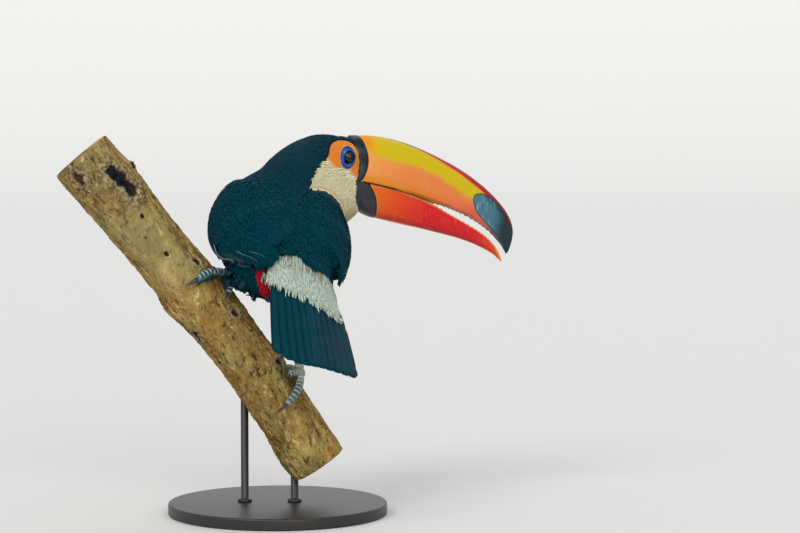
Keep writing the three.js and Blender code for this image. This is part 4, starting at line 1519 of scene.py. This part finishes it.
def make_claws():
    """The eight claws in dark streaked horn."""
    paint = Paint("claw", Roughness=0.3, Specular_IOR_Level=0.5)
    streaks = paint.noise(0.9, 5)
    paint.set("Base Color", paint.mix(streaks, (0.012, 0.012, 0.014), (0.06, 0.058, 0.055)))
    paint.bump(streaks, 0.08, 0.5)
    for side in ("left", "right"):
        for k in (1, 2, 3, 4):
            name = f"claw_{side}_{k}"
            verts, rows = refined(name, 2, 70)
            dress(new_piece(f"horn_{side}_{k}", verts, rows), paint.material, "claw", name)


# ---- Perch and stand ----
# Knot holes: the line's x where each lies, the angle from the upper side towards -Y, radius, depth.
HOLES = [
    (-173.5, 64, 7.0, 5), (-166.5, 58, 8.5, 7), (-159.5, 55, 8.5, 8), (-180, 122, 6.5, 3),
    (-169, 6, 3.2, 4), (-140.5, 68, 2.4, 3), (-129, 90, 2.2, 2.6), (-113, 77, 2.6, 3), (-98, 38, 3.6, 4.5),
    (-17.5, 34, 4.6, 5), (-57, 42, 4.5, 2.5), (-60, 150, 5, 3.5), (-128, 200, 6, 4), (20, 250, 5, 3),
]
# Knobs: the same, with a size and a height.
KNOBS = [
    (-169, 2, 7, 4.0), (-150, 62, 16, 1.6), (-172, 60, 18, 1.6), (-98, 38, 8, 1.6), (-16, 36, 11, 2.6),
    (-186, 110, 14, 1.5),
]
BRANCH_VOXEL = 1.1
DEEPEST, HIGHEST = -11, 4.5  # limits of the bark's relief


def branch_place(on, ways, radius, x, angle):
    """The point on the bark at an x of the line and an angle from its upper side, and the way along."""
    nearest = np.abs(on[:, 0] - x).argmin()
    up = unit(np.cross(ways[nearest], [0, 1, 0]))
    up = up * np.sign(up[2])
    radial = np.cos(np.radians(angle)) * up + np.sin(np.radians(angle)) * np.array([0, -1.0, 0])
    near = np.abs(on[:, 0] - x) < 6
    return on[nearest] + radial * np.median(radius[near]), ways[nearest]


def make_perch():
    """The branch with its bark: lumps, long fissures, flakes and knot holes in the mesh itself."""
    verts, faces = united(["perch"], BRANCH_VOXEL)
    verts = smoothed(verts, faces, 24, 1.0, back=0.0)
    line = branch_axis()
    along, on, ways = on_line(verts, line)
    out = verts - on
    radius = np.linalg.norm(out, axis=1)
    normal = normals_of(verts, faces)
    side_on = ease(1 - np.abs((normal * ways).sum(1)), 0.25, 0.55)
    grain = np.stack([along * 0.19, out[:, 0] - 0.84 * out[:, 2], out[:, 1]], 1)
    flank = ease(np.abs(out[:, 1]) / np.maximum(radius, 1), 0.55, 0.85)
    twisted = grain + np.stack([0 * along, 0.12 * along, 0.06 * along], 1)
    coarse = speckle(grain, 19, 31, 3)
    broken = speckle(verts, 26, 39, 2)
    long_cracks = 1 - ease(np.abs(speckle(twisted, 7.0, 32, 4)), 0.0, 0.11)
    short_cracks = 1 - ease(np.abs(speckle(twisted * (1.6, 1, 1), 3.6, 37, 3)), 0.0, 0.14)
    long_cracks = long_cracks * ease(broken, -0.5, 0.2) * (1 - 0.55 * flank)
    crack = np.maximum(long_cracks, 0.75 * short_cracks * ease(-broken, -0.25, 0.25) * (1 - 0.3 * flank))
    flake = speckle(twisted * (1.8, 1, 1), 4.2, 33, 4)
    fine = speckle(verts, 1.9, 34, 2)
    bald = flank * ease(on[:, 0], -158, -140) * ease(-on[:, 0], 82, 100)
    crack = crack * (1 - 0.7 * bald)
    flake = flake * (1 - 0.4 * bald)
    rise = 1.1 * coarse + (1.05 - 0.35 * flank) * flake + 0.35 * fine - (2.0 - 0.8 * flank) * crack
    for x, angle, size, height in KNOBS:
        hit, _ = branch_place(on, ways, radius, x, angle)
        gap = np.linalg.norm(verts - hit, axis=1) / size
        rise = rise + height * np.exp(-(gap ** 2) * 2) * (1 + 0.25 * flake)
    hole, rim, scurf = np.zeros(len(verts)), np.zeros(len(verts)), np.zeros(len(verts))
    for x, angle, size, depth in HOLES:
        hit, way = branch_place(on, ways, radius, x, angle)
        gap = verts - hit
        wobble = 1 + 0.4 * speckle(gap / 6 + x, 1.0, 36, 3)
        lengthwise = gap @ way
        round_it = (gap ** 2).sum(1) - lengthwise ** 2
        reach = np.sqrt((lengthwise * 0.72) ** 2 + round_it) / (size * wobble)
        hole = np.maximum(hole, (1 - ease(reach, 0.6, 1.0)) * min(1, depth / 4))
        rise = rise - depth * (1 - ease(reach, 0.35, 1.05))
        rise = rise + 0.14 * size * np.exp(-(((reach - 1.3) / 0.28) ** 2))
        rim = np.maximum(rim, np.exp(-(((reach - 1.25) / 0.3) ** 2)))
        scurf = np.maximum(scurf, (1 - ease(reach, 1.0, 3.0)) * min(1, size / 6))
    crust = speckle(verts, 3.0, 38, 3)
    rise = rise + 1.5 * scurf * crust
    gripping = [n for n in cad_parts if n.startswith(("toe", "foot", "claw"))]
    rise = np.where(nearest_gap(verts, gripping) < 4, np.minimum(rise, 0.0), rise)
    rise = np.clip(rise, DEEPEST, HIGHEST) * side_on
    verts = verts + normal * rise[:, None]
    cut = 1 - side_on
    verts = verts + normal * ((0.25 * np.sin(radius * 2.4 + coarse) + 0.3 * fine) * cut)[:, None]
    perch = new_piece("branch", verts, faces)
    crust = ease(-crust, -0.05, 0.3) * scurf * side_on
    set_attributes(perch, crack=crack * side_on, hole=hole * side_on, rim=rim)
    set_attributes(perch, scurf=scurf, cut=cut, rise=rise)
    set_attributes(perch, radius=radius + 0.8 * coarse, along=along / along.max())
    set_attributes(perch, flake=flake, flank=flank, bald=bald, crust=crust)
    layer = perch.data.attributes.new("grain", "FLOAT_VECTOR", "POINT")
    layer.data.foreach_set("vector", (twisted * MM).astype(np.float32).ravel())
    dress(perch, bark_material(), "bark", "perch")


def bark_material():
    """Ochre bark with dark fissures, painted shade in its low places and knot holes, greyer and scurfy round
    the knots, and pale cut ends.
    """
    paint = Paint("bark", Roughness=0.85, Specular_IOR_Level=0.2)
    grain = paint.add("ShaderNodeAttribute", attribute_name="grain").outputs["Vector"]
    broad = paint.noise(34, 3)
    medium = paint.noise(8, 5, 0.62, grain)
    fine = paint.noise(2.2, 6, 0.7, grain)
    dots = paint.noise(1.5, 4, 0.6)
    colour = paint.ramp(
        medium,
        [
            (0.34, (0.085, 0.048, 0.011)),
            (0.46, (0.20, 0.128, 0.030)),
            (0.55, (0.30, 0.21, 0.055)),
            (0.66, (0.46, 0.34, 0.11)),
        ],
    )
    mottled = paint.mix(paint.step(dots, 0.42, 0.6), (0.22, 0.155, 0.045), (0.42, 0.32, 0.12))
    colour = paint.mix(paint.times(paint.attribute("flank"), 0.3), colour, mottled)
    colour = paint.mix(paint.step(broad, 0.48, 0.62, 0.0, 0.5), colour, (0.29, 0.15, 0.032))
    colour = paint.mix(paint.step(broad, 0.46, 0.34, 0.0, 0.4), colour, (0.25, 0.21, 0.065))
    along = paint.attribute("along")
    grey = paint.larger(paint.step(along, 0.5, 0.05, 0.0, 0.55), paint.attribute("scurf"))
    grey = paint.times(grey, paint.step(fine, 0.42, 0.58, 0.25, 1.0))
    colour = paint.mix(paint.times(grey, 0.6), colour, (0.30, 0.28, 0.16))
    streak = paint.step(fine, 0.45, 0.38)
    colour = paint.mix(paint.times(streak, 0.9), colour, (0.042, 0.024, 0.009))
    colour = paint.mix(paint.step(fine, 0.56, 0.66, 0.0, 0.8), colour, (0.56, 0.44, 0.18))
    specks = paint.step(dots, 0.38, 0.30)
    colour = paint.mix(paint.times(specks, 0.8), colour, (0.04, 0.028, 0.015))
    # Dark fissures, and painted shade in the bark's low places: the colour darkens where the surface is sunk
    # deeper.
    low = paint.larger(paint.attribute("crack"), paint.step(paint.attribute("rise"), -1.6, -3.0))
    colour = paint.mix(paint.times(low, 0.9), colour, (0.042, 0.024, 0.010))
    facing = paint.step(paint.attribute("flank"), 0.7, 0.2, 0.0, 0.55)
    high = paint.times(paint.step(paint.attribute("flake"), 0.15, 0.45), facing)
    colour = paint.mix(high, colour, (0.40, 0.24, 0.085))
    colour = paint.mix(paint.times(paint.attribute("rim"), 0.3), colour, (0.36, 0.30, 0.16))
    pale = paint.mix(fine, (0.24, 0.19, 0.075), (0.38, 0.32, 0.14))
    colour = paint.mix(paint.times(paint.attribute("bald"), 0.4), colour, pale)
    colour = paint.mix(paint.times(paint.attribute("crust"), 0.8), colour, (0.060, 0.040, 0.022))
    # The knot holes: near-black inside, more where they are deeper, which is painted shade in their hollows;
    # dark reddish-brown wood in those near one end of the branch.
    inside = paint.mix(paint.step(along, 0.115, 0.09), (0.010, 0.009, 0.016), (0.085, 0.024, 0.016))
    inside = paint.mix(paint.step(medium, 0.5, 0.62, 0.0, 0.5), inside, (0.05, 0.022, 0.014))
    colour = paint.mix(paint.step(paint.attribute("hole"), 0.25, 0.75), colour, inside)
    rings = paint.math("SINE", paint.times(paint.attribute("radius"), 2.6))
    wood = paint.mix(paint.step(rings, -0.6, 1.0), (0.52, 0.36, 0.19), (0.38, 0.23, 0.10))
    wood = paint.mix(paint.times(streak, 0.4), wood, (0.20, 0.12, 0.05))
    wood = paint.mix(paint.step(paint.attribute("radius"), 25.5, 28), wood, (0.13, 0.075, 0.03))
    colour = paint.mix(paint.step(paint.attribute("cut"), 0.4, 0.7), colour, wood)
    paint.set("Base Color", colour)
    paint.bump(paint.plus(fine, paint.times(dots, 0.5)), 1.0, 0.9)
    return paint.material


def lathe(name, profile, at, segments=128):
    """A turned piece from a profile of (radius, height) about a vertical axis, closed at both ends."""
    turn = np.linspace(0, 2 * np.pi, segments, endpoint=False)
    verts = [[at[0] + r * np.cos(a), at[1] + r * np.sin(a), z] for r, z in profile for a in turn]
    last = (len(profile) - 1) * segments
    ends = [list(range(segments))[::-1], [last + j for j in range(segments)]]
    return new_piece(name, verts, ends + ring_faces(len(profile), segments))


def rounded_profile(radius, low, high, fillet, steps=6):
    """The outline of a disc or rod with rounded rims."""
    profile = []
    for angle in np.radians(np.linspace(-90, 0, steps)):
        profile.append((radius - fillet + fillet * np.cos(angle), low + fillet + fillet * np.sin(angle)))
    for angle in np.radians(np.linspace(0, 90, steps)):
        profile.append((radius - fillet + fillet * np.cos(angle), high - fillet + fillet * np.sin(angle)))
    return profile


def make_stand():
    """A round base and two rods in satin black metal, each rod in a small collar."""
    paint = Paint("stand", Roughness=0.42, Metallic=0.0, Specular_IOR_Level=0.45)
    mottle = paint.noise(2.5, 4)
    paint.set("Base Color", paint.mix(mottle, (0.012, 0.012, 0.013), (0.022, 0.022, 0.023)))
    paint.bump(paint.noise(0.5, 3), 0.03, 0.4)
    low, high = (np.array(corner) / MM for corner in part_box("stand_base"))
    middle = (low + high) / 2
    base_top = high[2]
    profile = rounded_profile((high[0] - low[0]) / 2, low[2], base_top, 2.0)
    base = lathe("stand_disc", profile, middle[:2], 192)
    dress(base, paint.material, "stand_base", "stand_base")
    for name in ("stand_rod_low", "stand_rod_high"):
        low, high = (np.array(corner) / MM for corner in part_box(name))
        middle = (low + high) / 2
        radius = (high[0] - low[0]) / 2
        collar = [(3.2, -0.5), (3.2, 2.4), (2.6, 3.0), (0.5, 3.4), (0.0, 4.0)]
        profile = [(radius + wider, base_top + higher) for wider, higher in collar]
        profile += [(radius, high[2] - 0.2), (radius - 0.4, high[2])]
        rod = lathe(name.replace("stand_rod", "stand_post"), profile, middle[:2], 48)
        dress(rod, paint.material, "stand_rod", name)


# ---- Bill ----
def refined(name, levels, crease_angle=40, crease=0.9):
    """A CAD node's form as a smooth mesh, with its sharp edges kept by a crease."""
    verts, faces = node_arrays(name)
    work = bmesh.new()
    mesh = bpy.data.meshes.new("refined")
    mesh.from_pydata(verts.tolist(), [], faces.tolist())
    work.from_mesh(mesh)
    bpy.data.meshes.remove(mesh)
    bmesh.ops.join_triangles(
        work, faces=work.faces, angle_face_threshold=1.2, angle_shape_threshold=2.6
    )
    layer = work.edges.layers.float.get("crease_edge") or work.edges.layers.float.new("crease_edge")
    for edge in work.edges:
        if len(edge.link_faces) == 2 and edge.calc_face_angle() > np.radians(crease_angle):
            edge[layer] = crease
    mesh = bpy.data.meshes.new("refined")
    work.to_mesh(mesh)
    work.free()
    piece = bpy.data.objects.new("refined", mesh)
    bpy.context.scene.collection.objects.link(piece)
    modifier = piece.modifiers.new("fine", "SUBSURF")
    modifier.levels = levels
    verts, rows = evaluated(piece)
    discard(piece)
    return verts * MM, rows


# Outlines on the side of the bill, in the head's frame (x, z).
UPPER_BAND = [(-40, 60), (-11, 48), (-3.5, 38), (1.4, 27), (2.9, 18), (2.6, 10), (0.5, 0), (-40, -20)]
UPPER_TIP = [
    (126, 17), (127.5, 23), (134, 26.2), (148, 25.5), (158, 21.5), (168, 14.5), (176, 7), (184, -1),
    (196, -14), (196, -45), (170, -14), (155, -6), (143, 0), (133, 6),
]
LOWER_PATCH = [
    (-40, 12), (-3, 5), (8.5, 1), (15.5, -4), (21, -10), (26, -18), (30, -26), (33, -32), (34, -50),
    (-40, -50),
]
# Heights (z) along the bill (x): the lower edge of the yellow, the ridge, the edges and the keel.
YELLOW_EDGE = [
    (-6, 40), (4, 32), (14, 29), (36, 31), (58, 32.4), (82, 29.6), (104, 22.9), (122, 18), (190, 12),
]
RIDGE = [
    (-19, 43), (3, 50), (27, 53), (54, 52.5), (82, 49), (108, 44), (132, 36.5), (152, 27.5), (169, 17),
    (180, 6),
]
UPPER_EDGE = [(-5, 0.5), (38, 3.8), (87, 3), (131, 0), (160, -9), (185, -26)]
LOWER_EDGE = [
    (-8, -1.4), (18, 1.2), (44, 2.2), (70, 1.2), (94, -2), (118, -6.5), (140, -11), (155, -15.5),
    (167, -21.5), (180, -34),
]
KEEL = [(-8, -20), (28, -29), (76, -27), (122, -25.4), (156, -28), (168, -30.5), (180, -36)]
BILL_LENGTH = 190
BILL_SHEEN = {
    "Roughness": 0.38,
    "Specular_IOR_Level": 0.22,
    "Specular_Tint": (1, 0.9, 0.75, 1),
    "Coat_Weight": 0.05,
    "Coat_Roughness": 0.2,
}


def horn_surface(verts, faces, seam, sink, seed):
    """A bill's surface: sunk where seam is above 0, a ridge where it is 0, and fine streaks and swells."""
    head = HEAD.local(verts)
    groove = sink * ease(seam, -0.4, 1.2) - (sink - 0.1) * np.exp(-(seam ** 2))
    relief = speckle(head * (1, 1, 0.25), 3.0, seed, 3) * 0.07 + speckle(head, 14, seed + 1, 2) * 0.12
    return verts + normals_of(verts, faces) * (groove + relief)[:, None]


def bill_teeth(x, pitch, sway, rate):
    """Uneven saw teeth along a bill's edge, from -0.5 to 0.5."""
    return np.abs(((x / pitch + sway * np.sin(x * rate)) % 1) - 0.5) * 2 - 0.5


def make_upper_bill():
    """The upper half: a dark band at its base, a dark tip, and a toothed edge that shuts at the base."""
    verts, rows = refined("bill_upper", 3)
    faces = np.array(rows)
    head = HEAD.local(verts)
    x, _, z = head.T
    band = inside_outline(head[:, [0, 2]], rounded(UPPER_BAND))
    tip = inside_outline(head[:, [0, 2]], rounded(UPPER_TIP))
    rim = z - along_line(x, UPPER_EDGE)
    near_edge = ease(-rim, -2.5, 0.3)
    verts = horn_surface(verts, faces, band, 0.45, 5)
    bite = near_edge * ease(x, 60, 95) * (1 - ease(x, 158, 172)) * bill_teeth(x, 5.2, 0.2, 0.21) * 1.5
    shut = -1.9 * near_edge * (1 - ease(x, 86, 106)) * ease(x, -12, -4)
    verts = verts + HEAD.way(0, 0, 1) * (bite + shut)[:, None]
    piece = new_piece("upper_bill", verts, faces)
    yellow, ridge = z - along_line(x, YELLOW_EDGE), along_line(x, RIDGE) - z
    set_attributes(piece, band=band, tip=tip, station=x, height=z, yellow=yellow, ridge=ridge, rim=rim)
    dress(piece, upper_bill_material(), "bill_upper", "bill_upper")


def bill_shine(paint, striations):
    """Satin horn: fine upright striations and shallow pits as bump."""
    pits = paint.step(paint.cells(2.4), 0.0, 0.16)
    paint.bump(paint.plus(striations, paint.times(pits, 0.6)), 0.09, 0.55)


def upper_bill_material():
    """Yellow over salmon and orange, a red ridge, a blue-black tip with a painted highlight and painted
    reflection streaks, a dark band with painted gleams and an orange line, and painted shade along the edge
    by the mouth.
    """
    paint = Paint("bill_upper", **BILL_SHEEN)
    x, yellow, ridge, tip, band, rim = (
        paint.attribute(name) for name in ("station", "yellow", "ridge", "tip", "band", "rim")
    )
    streaks = paint.noise(2.6, 5, 0.6, paint.stretched(1, 1, 0.22))
    broad = paint.noise(18, 3)
    along = paint.math("DIVIDE", x, BILL_LENGTH)
    top = paint.ramp(
        along,
        [
            (0.0, (0.62, 0.24, 0.006)),
            (0.045, (0.56, 0.35, 0.003)),
            (0.11, (0.50, 0.385, 0.002)),
            (1.0, (0.53, 0.38, 0.003)),
        ],
    )
    salmon = paint.ramp(
        along,
        [
            (0.0, (0.66, 0.27, 0.06)),
            (0.25, (0.65, 0.20, 0.045)),
            (0.5, (0.64, 0.18, 0.05)),
            (0.75, (0.64, 0.17, 0.06)),
            (1.0, (0.60, 0.15, 0.06)),
        ],
    )
    lowest = paint.ramp(
        along,
        [
            (0.0, (0.62, 0.21, 0.012)),
            (0.42, (0.62, 0.16, 0.014)),
            (0.55, (0.66, 0.13, 0.055)),
            (0.68, (0.60, 0.10, 0.05)),
        ],
    )
    low = paint.mix(paint.step(paint.attribute("height"), 15, 5), salmon, lowest)
    uneven = paint.minus(streaks, 0.5)
    wander = paint.plus(yellow, paint.times(uneven, 9.0))
    colour = paint.mix(paint.step(wander, -4.5, 3.5), low, top)
    dark_streaks = paint.times(paint.step(streaks, 0.56, 0.8), paint.step(yellow, 7, -4, 0.0, 0.5))
    colour = paint.mix(dark_streaks, colour, (0.50, 0.09, 0.014))
    red_width = paint.step(x, 22, 150, 1.4, 7.2)
    red = paint.step(paint.minus(red_width, ridge), -0.5, 0.9)
    red = paint.times(red, paint.step(x, 18, 30))
    crimson = paint.mix(paint.step(x, 28, 75), (0.045, 0.006, 0.008), (0.36, 0.008, 0.018))
    colour = paint.mix(red, colour, crimson)
    under_red = paint.step(paint.minus(ridge, red_width), 2.2, 0.6)
    under_red = paint.times(under_red, paint.minus(1.0, red))
    under_red = paint.times(under_red, paint.step(x, 60, 110, 0.0, 0.8))
    colour = paint.mix(under_red, colour, (0.66, 0.18, 0.012))
    specks = paint.step(paint.cells(9), 0.075, 0.03)
    specks = paint.times(specks, paint.step(broad, 0.5, 0.62, 0.0, 0.6))
    colour = paint.mix(specks, colour, (0.25, 0.06, 0.015))
    # Painted shade: the upper half's lowest edge is coloured orange-brown for the shaded inside of the mouth
    # seen between the halves.
    shaded_gap = paint.times(paint.step(rim, 3.0, 2.0), paint.step(x, 42, 60))
    shaded_gap = paint.times(shaded_gap, paint.step(x, 108, 98))
    colour = paint.mix(shaded_gap, colour, (0.40, 0.11, 0.008))
    # Painted shade: darker red-brown along the underside of the upper half's edge, towards the tip.
    under = paint.times(paint.step(rim, 1.3, 0.5), paint.step(x, 88, 104))
    colour = paint.mix(under, colour, (0.34, 0.07, 0.018))
    mouth_line = paint.times(paint.step(rim, 1.6, 0.9), paint.step(x, 50, 34))
    colour = paint.mix(mouth_line, colour, (0.07, 0.018, 0.008))
    # The blue-black tip: its lighter blue where it begins is a painted highlight. It turns near-black towards
    # the ridge, the end and its outline.
    dark = paint.mix(paint.step(tip, 0, 7), (0.05, 0.17, 0.22), (0.045, 0.14, 0.19))
    dark = paint.mix(paint.step(ridge, 13, 6), dark, (0.014, 0.05, 0.068))
    dark = paint.mix(paint.step(x, 154, 172), dark, (0.010, 0.028, 0.034))
    # Painted reflection: pale blue streaks on the lighter part of the tip.
    reflection_streaks = paint.times(paint.step(streaks, 0.5, 0.7, 0.0, 0.75), paint.step(x, 162, 146))
    dark = paint.mix(reflection_streaks, dark, (0.26, 0.40, 0.43))
    dark = paint.mix(paint.step(tip, 1.6, 0.4), dark, (0.008, 0.016, 0.02))
    tip_edge = paint.plus(tip, paint.times(uneven, 1.2))
    colour = paint.mix(paint.step(tip_edge, -0.5, 0.5), colour, dark)
    # Painted highlight: lighter teal patches on the black band at the bill's base stand for its gloss.
    painted_gleam = paint.mix(paint.step(broad, 0.45, 0.65), (0.004, 0.010, 0.012), (0.010, 0.055, 0.065))
    colour = paint.mix(paint.step(band, -1.6, -0.3), colour, (0.75, 0.22, 0.02))
    colour = paint.mix(paint.step(band, -0.4, 0.4), colour, painted_gleam)
    paint.set("Base Color", colour)
    bill_shine(paint, streaks)
    return paint.material


def make_lower_bill():
    """The lower half: a dark patch at its base, a toothed edge that shuts at the base, and a deep keel."""
    verts, rows = refined("bill_lower", 3)
    faces = np.array(rows)
    head = HEAD.local(verts)
    x, _, z = head.T
    patch = inside_outline(head[:, [0, 2]], rounded(LOWER_PATCH))
    verts = horn_surface(verts, faces, patch, 0.4, 7)
    top, keel = along_line(x, LOWER_EDGE), along_line(x, KEEL)
    near_edge = ease(z - top, -2.5, 0.3)
    bite = near_edge * ease(x, 60, 95) * (1 - ease(x, 150, 166)) * bill_teeth(x, 5.0, 0.25, 0.17) * 1.2
    shut = near_edge * (1 - ease(x, 86, 106)) * ease(x, -12, -4)
    deeper = (0.8 + 1.8 * np.exp(-(((x - 20) / 16) ** 2))) * ease(keel - z, -16, -2) * ease(x, 0, 12)
    deeper = deeper * (1 - ease(x, 90, 140))
    verts = verts + HEAD.way(0, 0, 1) * (bite + shut - deeper)[:, None]
    piece = new_piece("lower_bill", verts, faces)
    set_attributes(piece, patch=patch, station=x, from_top=top - z, from_keel=z - keel)
    dress(piece, lower_bill_material(), "bill_lower", "bill_lower")


def lower_bill_material():
    """Orange to red to orange, with pale edges, painted shade towards the keel, and a near-black patch behind
    an orange line.
    """
    paint = Paint("bill_lower", **BILL_SHEEN)
    x, patch, from_keel = (paint.attribute(name) for name in ("station", "patch", "from_keel"))
    streaks = paint.noise(2.6, 5, 0.6, paint.stretched(1, 1, 0.22))
    broad = paint.noise(18, 3)
    colour = paint.ramp(
        paint.math("DIVIDE", x, BILL_LENGTH),
        [
            (0.0, (0.68, 0.15, 0.008)),
            (0.13, (0.68, 0.11, 0.008)),
            (0.25, (0.68, 0.055, 0.008)),
            (0.42, (0.58, 0.012, 0.016)),
            (0.75, (0.56, 0.010, 0.020)),
            (0.87, (0.62, 0.06, 0.022)),
            (0.94, (0.66, 0.24, 0.03)),
        ],
    )
    # Painted shade: darker red towards the keel.
    colour = paint.mix(paint.step(from_keel, 7, 1, 0.0, 0.6), colour, (0.40, 0.012, 0.018))
    colour = paint.mix(paint.step(streaks, 0.52, 0.8, 0.0, 0.35), colour, (0.86, 0.16, 0.05))
    rim = paint.step(paint.attribute("from_top"), 1.9, 0.5)
    rim = paint.larger(rim, paint.step(from_keel, 1.5, 0.2, 0.0, 0.8))
    colour = paint.mix(paint.times(rim, 0.75), colour, (0.88, 0.38, 0.12))
    dark = paint.mix(paint.step(broad, 0.4, 0.65), (0.030, 0.031, 0.035), (0.042, 0.044, 0.055))
    dark = paint.mix(paint.step(patch, 2.6, 0.8), dark, (0.006, 0.007, 0.008))
    colour = paint.mix(paint.step(patch, -1.4, -0.3), colour, (0.70, 0.20, 0.02))
    colour = paint.mix(paint.step(patch, -0.4, 0.4), colour, dark)
    paint.set("Base Color", colour)
    bill_shine(paint, streaks)
    return paint.material


# ---- Eyes ----
def make_eyes():
    """The eyeballs: spheres with a slight bulge in front, each with its angle from the front."""
    material = eye_material()
    rows, columns = 40, 64
    polar = np.linspace(0, np.pi, rows)[:, None]
    turn = np.linspace(0, 2 * np.pi, columns, endpoint=False)[None]
    x, z = np.sin(polar) * np.cos(turn), np.sin(polar) * np.sin(turn)
    out = np.cos(polar) * np.ones_like(turn)
    bulge = 0.985 + 0.03 * np.exp(-((polar / 0.5) ** 2)) * np.ones_like(turn)
    for side in ("left", "right"):
        centre, radius = eye_place(side)
        _, _, _, way = eye_plane(np.zeros((1, 3)), side)
        along = HEAD.way(1, 0, 0)
        along = unit(along - (along @ way) * way)
        up = np.cross(way, along)
        ball = x[..., None] * along + z[..., None] * up + out[..., None] * way
        verts = (centre + radius * bulge[..., None] * ball).reshape(-1, 3)
        piece = new_piece(f"eyeball_{side}", verts, ring_faces(rows, columns))
        work = bmesh.new()
        work.from_mesh(piece.data)
        bmesh.ops.remove_doubles(work, verts=work.verts, dist=1e-6)
        bmesh.ops.recalc_face_normals(work, faces=work.faces)
        work.to_mesh(piece.data)
        work.free()
        offset = unit(mm_verts(piece.data) - centre)
        set_attributes(piece, polar=np.degrees(np.arccos(np.clip(offset @ way, -1, 1))))
        dress(piece, material, "eye", f"eye_{side}")


def eye_material():
    """A near-black pupil in a dark olive iris, by the angle from the front, under a wet gloss."""
    paint = Paint("eye", Roughness=0.04, Specular_IOR_Level=0.4)
    polar = paint.attribute("polar")
    fibres = paint.noise(0.8, 4, 0.6)
    iris = paint.mix(fibres, (0.004, 0.010, 0.008), (0.034, 0.034, 0.014))
    iris = paint.mix(paint.step(polar, 30, 40), iris, (0.003, 0.013, 0.016))
    colour = paint.mix(paint.step(polar, 22, 26), (0.001, 0.001, 0.0015), iris)
    colour = paint.mix(paint.step(polar, 40, 47), colour, (0.002, 0.003, 0.005))
    paint.set("Base Color", colour)
    return paint.material


# ---- Camera, light and floor (in metres) ----
LENS, SENSOR = 135, 36
CAMERA_DOWN = 4.5  # degrees
CAMERA_TARGET = (0.123, 0, 0.24927)
CAMERA_DISTANCE = 3.0
FLOOR_RADIUS = 5.5  # where the floor begins to sweep up
SWEEP_RADIUS = 3.0


def make_camera():
    """The photograph's angle: a long lens, level with the bird and looking slightly down."""
    data = bpy.data.cameras.new("camera")
    data.lens = LENS
    data.sensor_width = SENSOR
    camera = bpy.data.objects.new("camera", data)
    down = np.radians(CAMERA_DOWN)
    way = Vector((0, np.cos(down), -np.sin(down)))
    camera.location = Vector(CAMERA_TARGET) - way * CAMERA_DISTANCE
    camera.rotation_mode = "QUATERNION"
    camera.rotation_quaternion = way.to_track_quat("-Z", "Y")
    bpy.context.scene.collection.objects.link(camera)
    bpy.context.scene.camera = camera


def make_sun(name, at, softness, strength, colour=(1, 1, 1)):
    """A soft light from the side that a place lies on, as seen from the bird."""
    data = bpy.data.lights.new(name, "SUN")
    data.angle = np.radians(softness)
    data.energy = strength
    data.color = colour
    light = bpy.data.objects.new(name, data)
    light.rotation_mode = "QUATERNION"
    light.rotation_quaternion = (-Vector(at)).to_track_quat("-Z", "Y")
    bpy.context.scene.collection.objects.link(light)


def make_studio():
    """A round floor that sweeps up into a wall, the same from every side, and soft lights."""
    profile = [(1.0, 0.0), (3.0, 0.0), (FLOOR_RADIUS, 0.0)]
    for angle in np.radians(np.arange(9, 64, 9)):
        profile.append((FLOOR_RADIUS + SWEEP_RADIUS * np.sin(angle), SWEEP_RADIUS * (1 - np.cos(angle))))
    columns = 96
    turn = np.linspace(0, 2 * np.pi, columns, endpoint=False)
    verts = [[r * np.cos(a) / MM, r * np.sin(a) / MM, z / MM] for r, z in profile for a in turn]
    verts.append([0, 0, 0])
    faces = [[len(verts) - 1, j, (j + 1) % columns] for j in range(columns)]
    faces += [face[::-1] for face in ring_faces(len(profile), columns)]
    floor = new_piece("studio_floor", verts, faces)
    paint = Paint("studio_floor", Roughness=0.8, Base_Color=(0.66, 0.66, 0.65, 1), Specular_IOR_Level=0.2)
    floor.data.materials.append(paint.material)
    world = bpy.data.worlds.new("studio")
    world.use_nodes = True
    background = world.node_tree.nodes["Background"]
    background.inputs["Color"].default_value = (0.97, 0.98, 1.0, 1)
    background.inputs["Strength"].default_value = 0.62
    scene = bpy.context.scene
    scene.world = world
    make_sun("key", (-1.6, -2.4, 2.6), 30, 1.35, (1, 0.98, 0.95))
    make_sun("front", (0.9, -2.6, 1.1), 40, 1.3, (1, 0.99, 0.97))
    make_sun("back", (0.6, 2.4, 2.2), 60, 0.5)
    scene.view_settings.view_transform = "Standard"
    scene.view_settings.look = "None"


make_camera()
make_studio()
form = make_form()
group, billward = near_groups(form.verts)
leg_verts, leg_faces = make_skin(form, group, billward)
dark = dark_material()
make_head_coat(form, group, dark)
make_back_coat(form, group, dark)
make_thighs(form, group, dark, leg_verts, leg_faces)
make_wing_coat(form, group, dark)
make_rump(form, group)
make_tail()
make_upper_bill()
make_lower_bill()
make_eyes()
make_scutes(form, leg_verts)
make_claws()
make_perch()
make_stand()
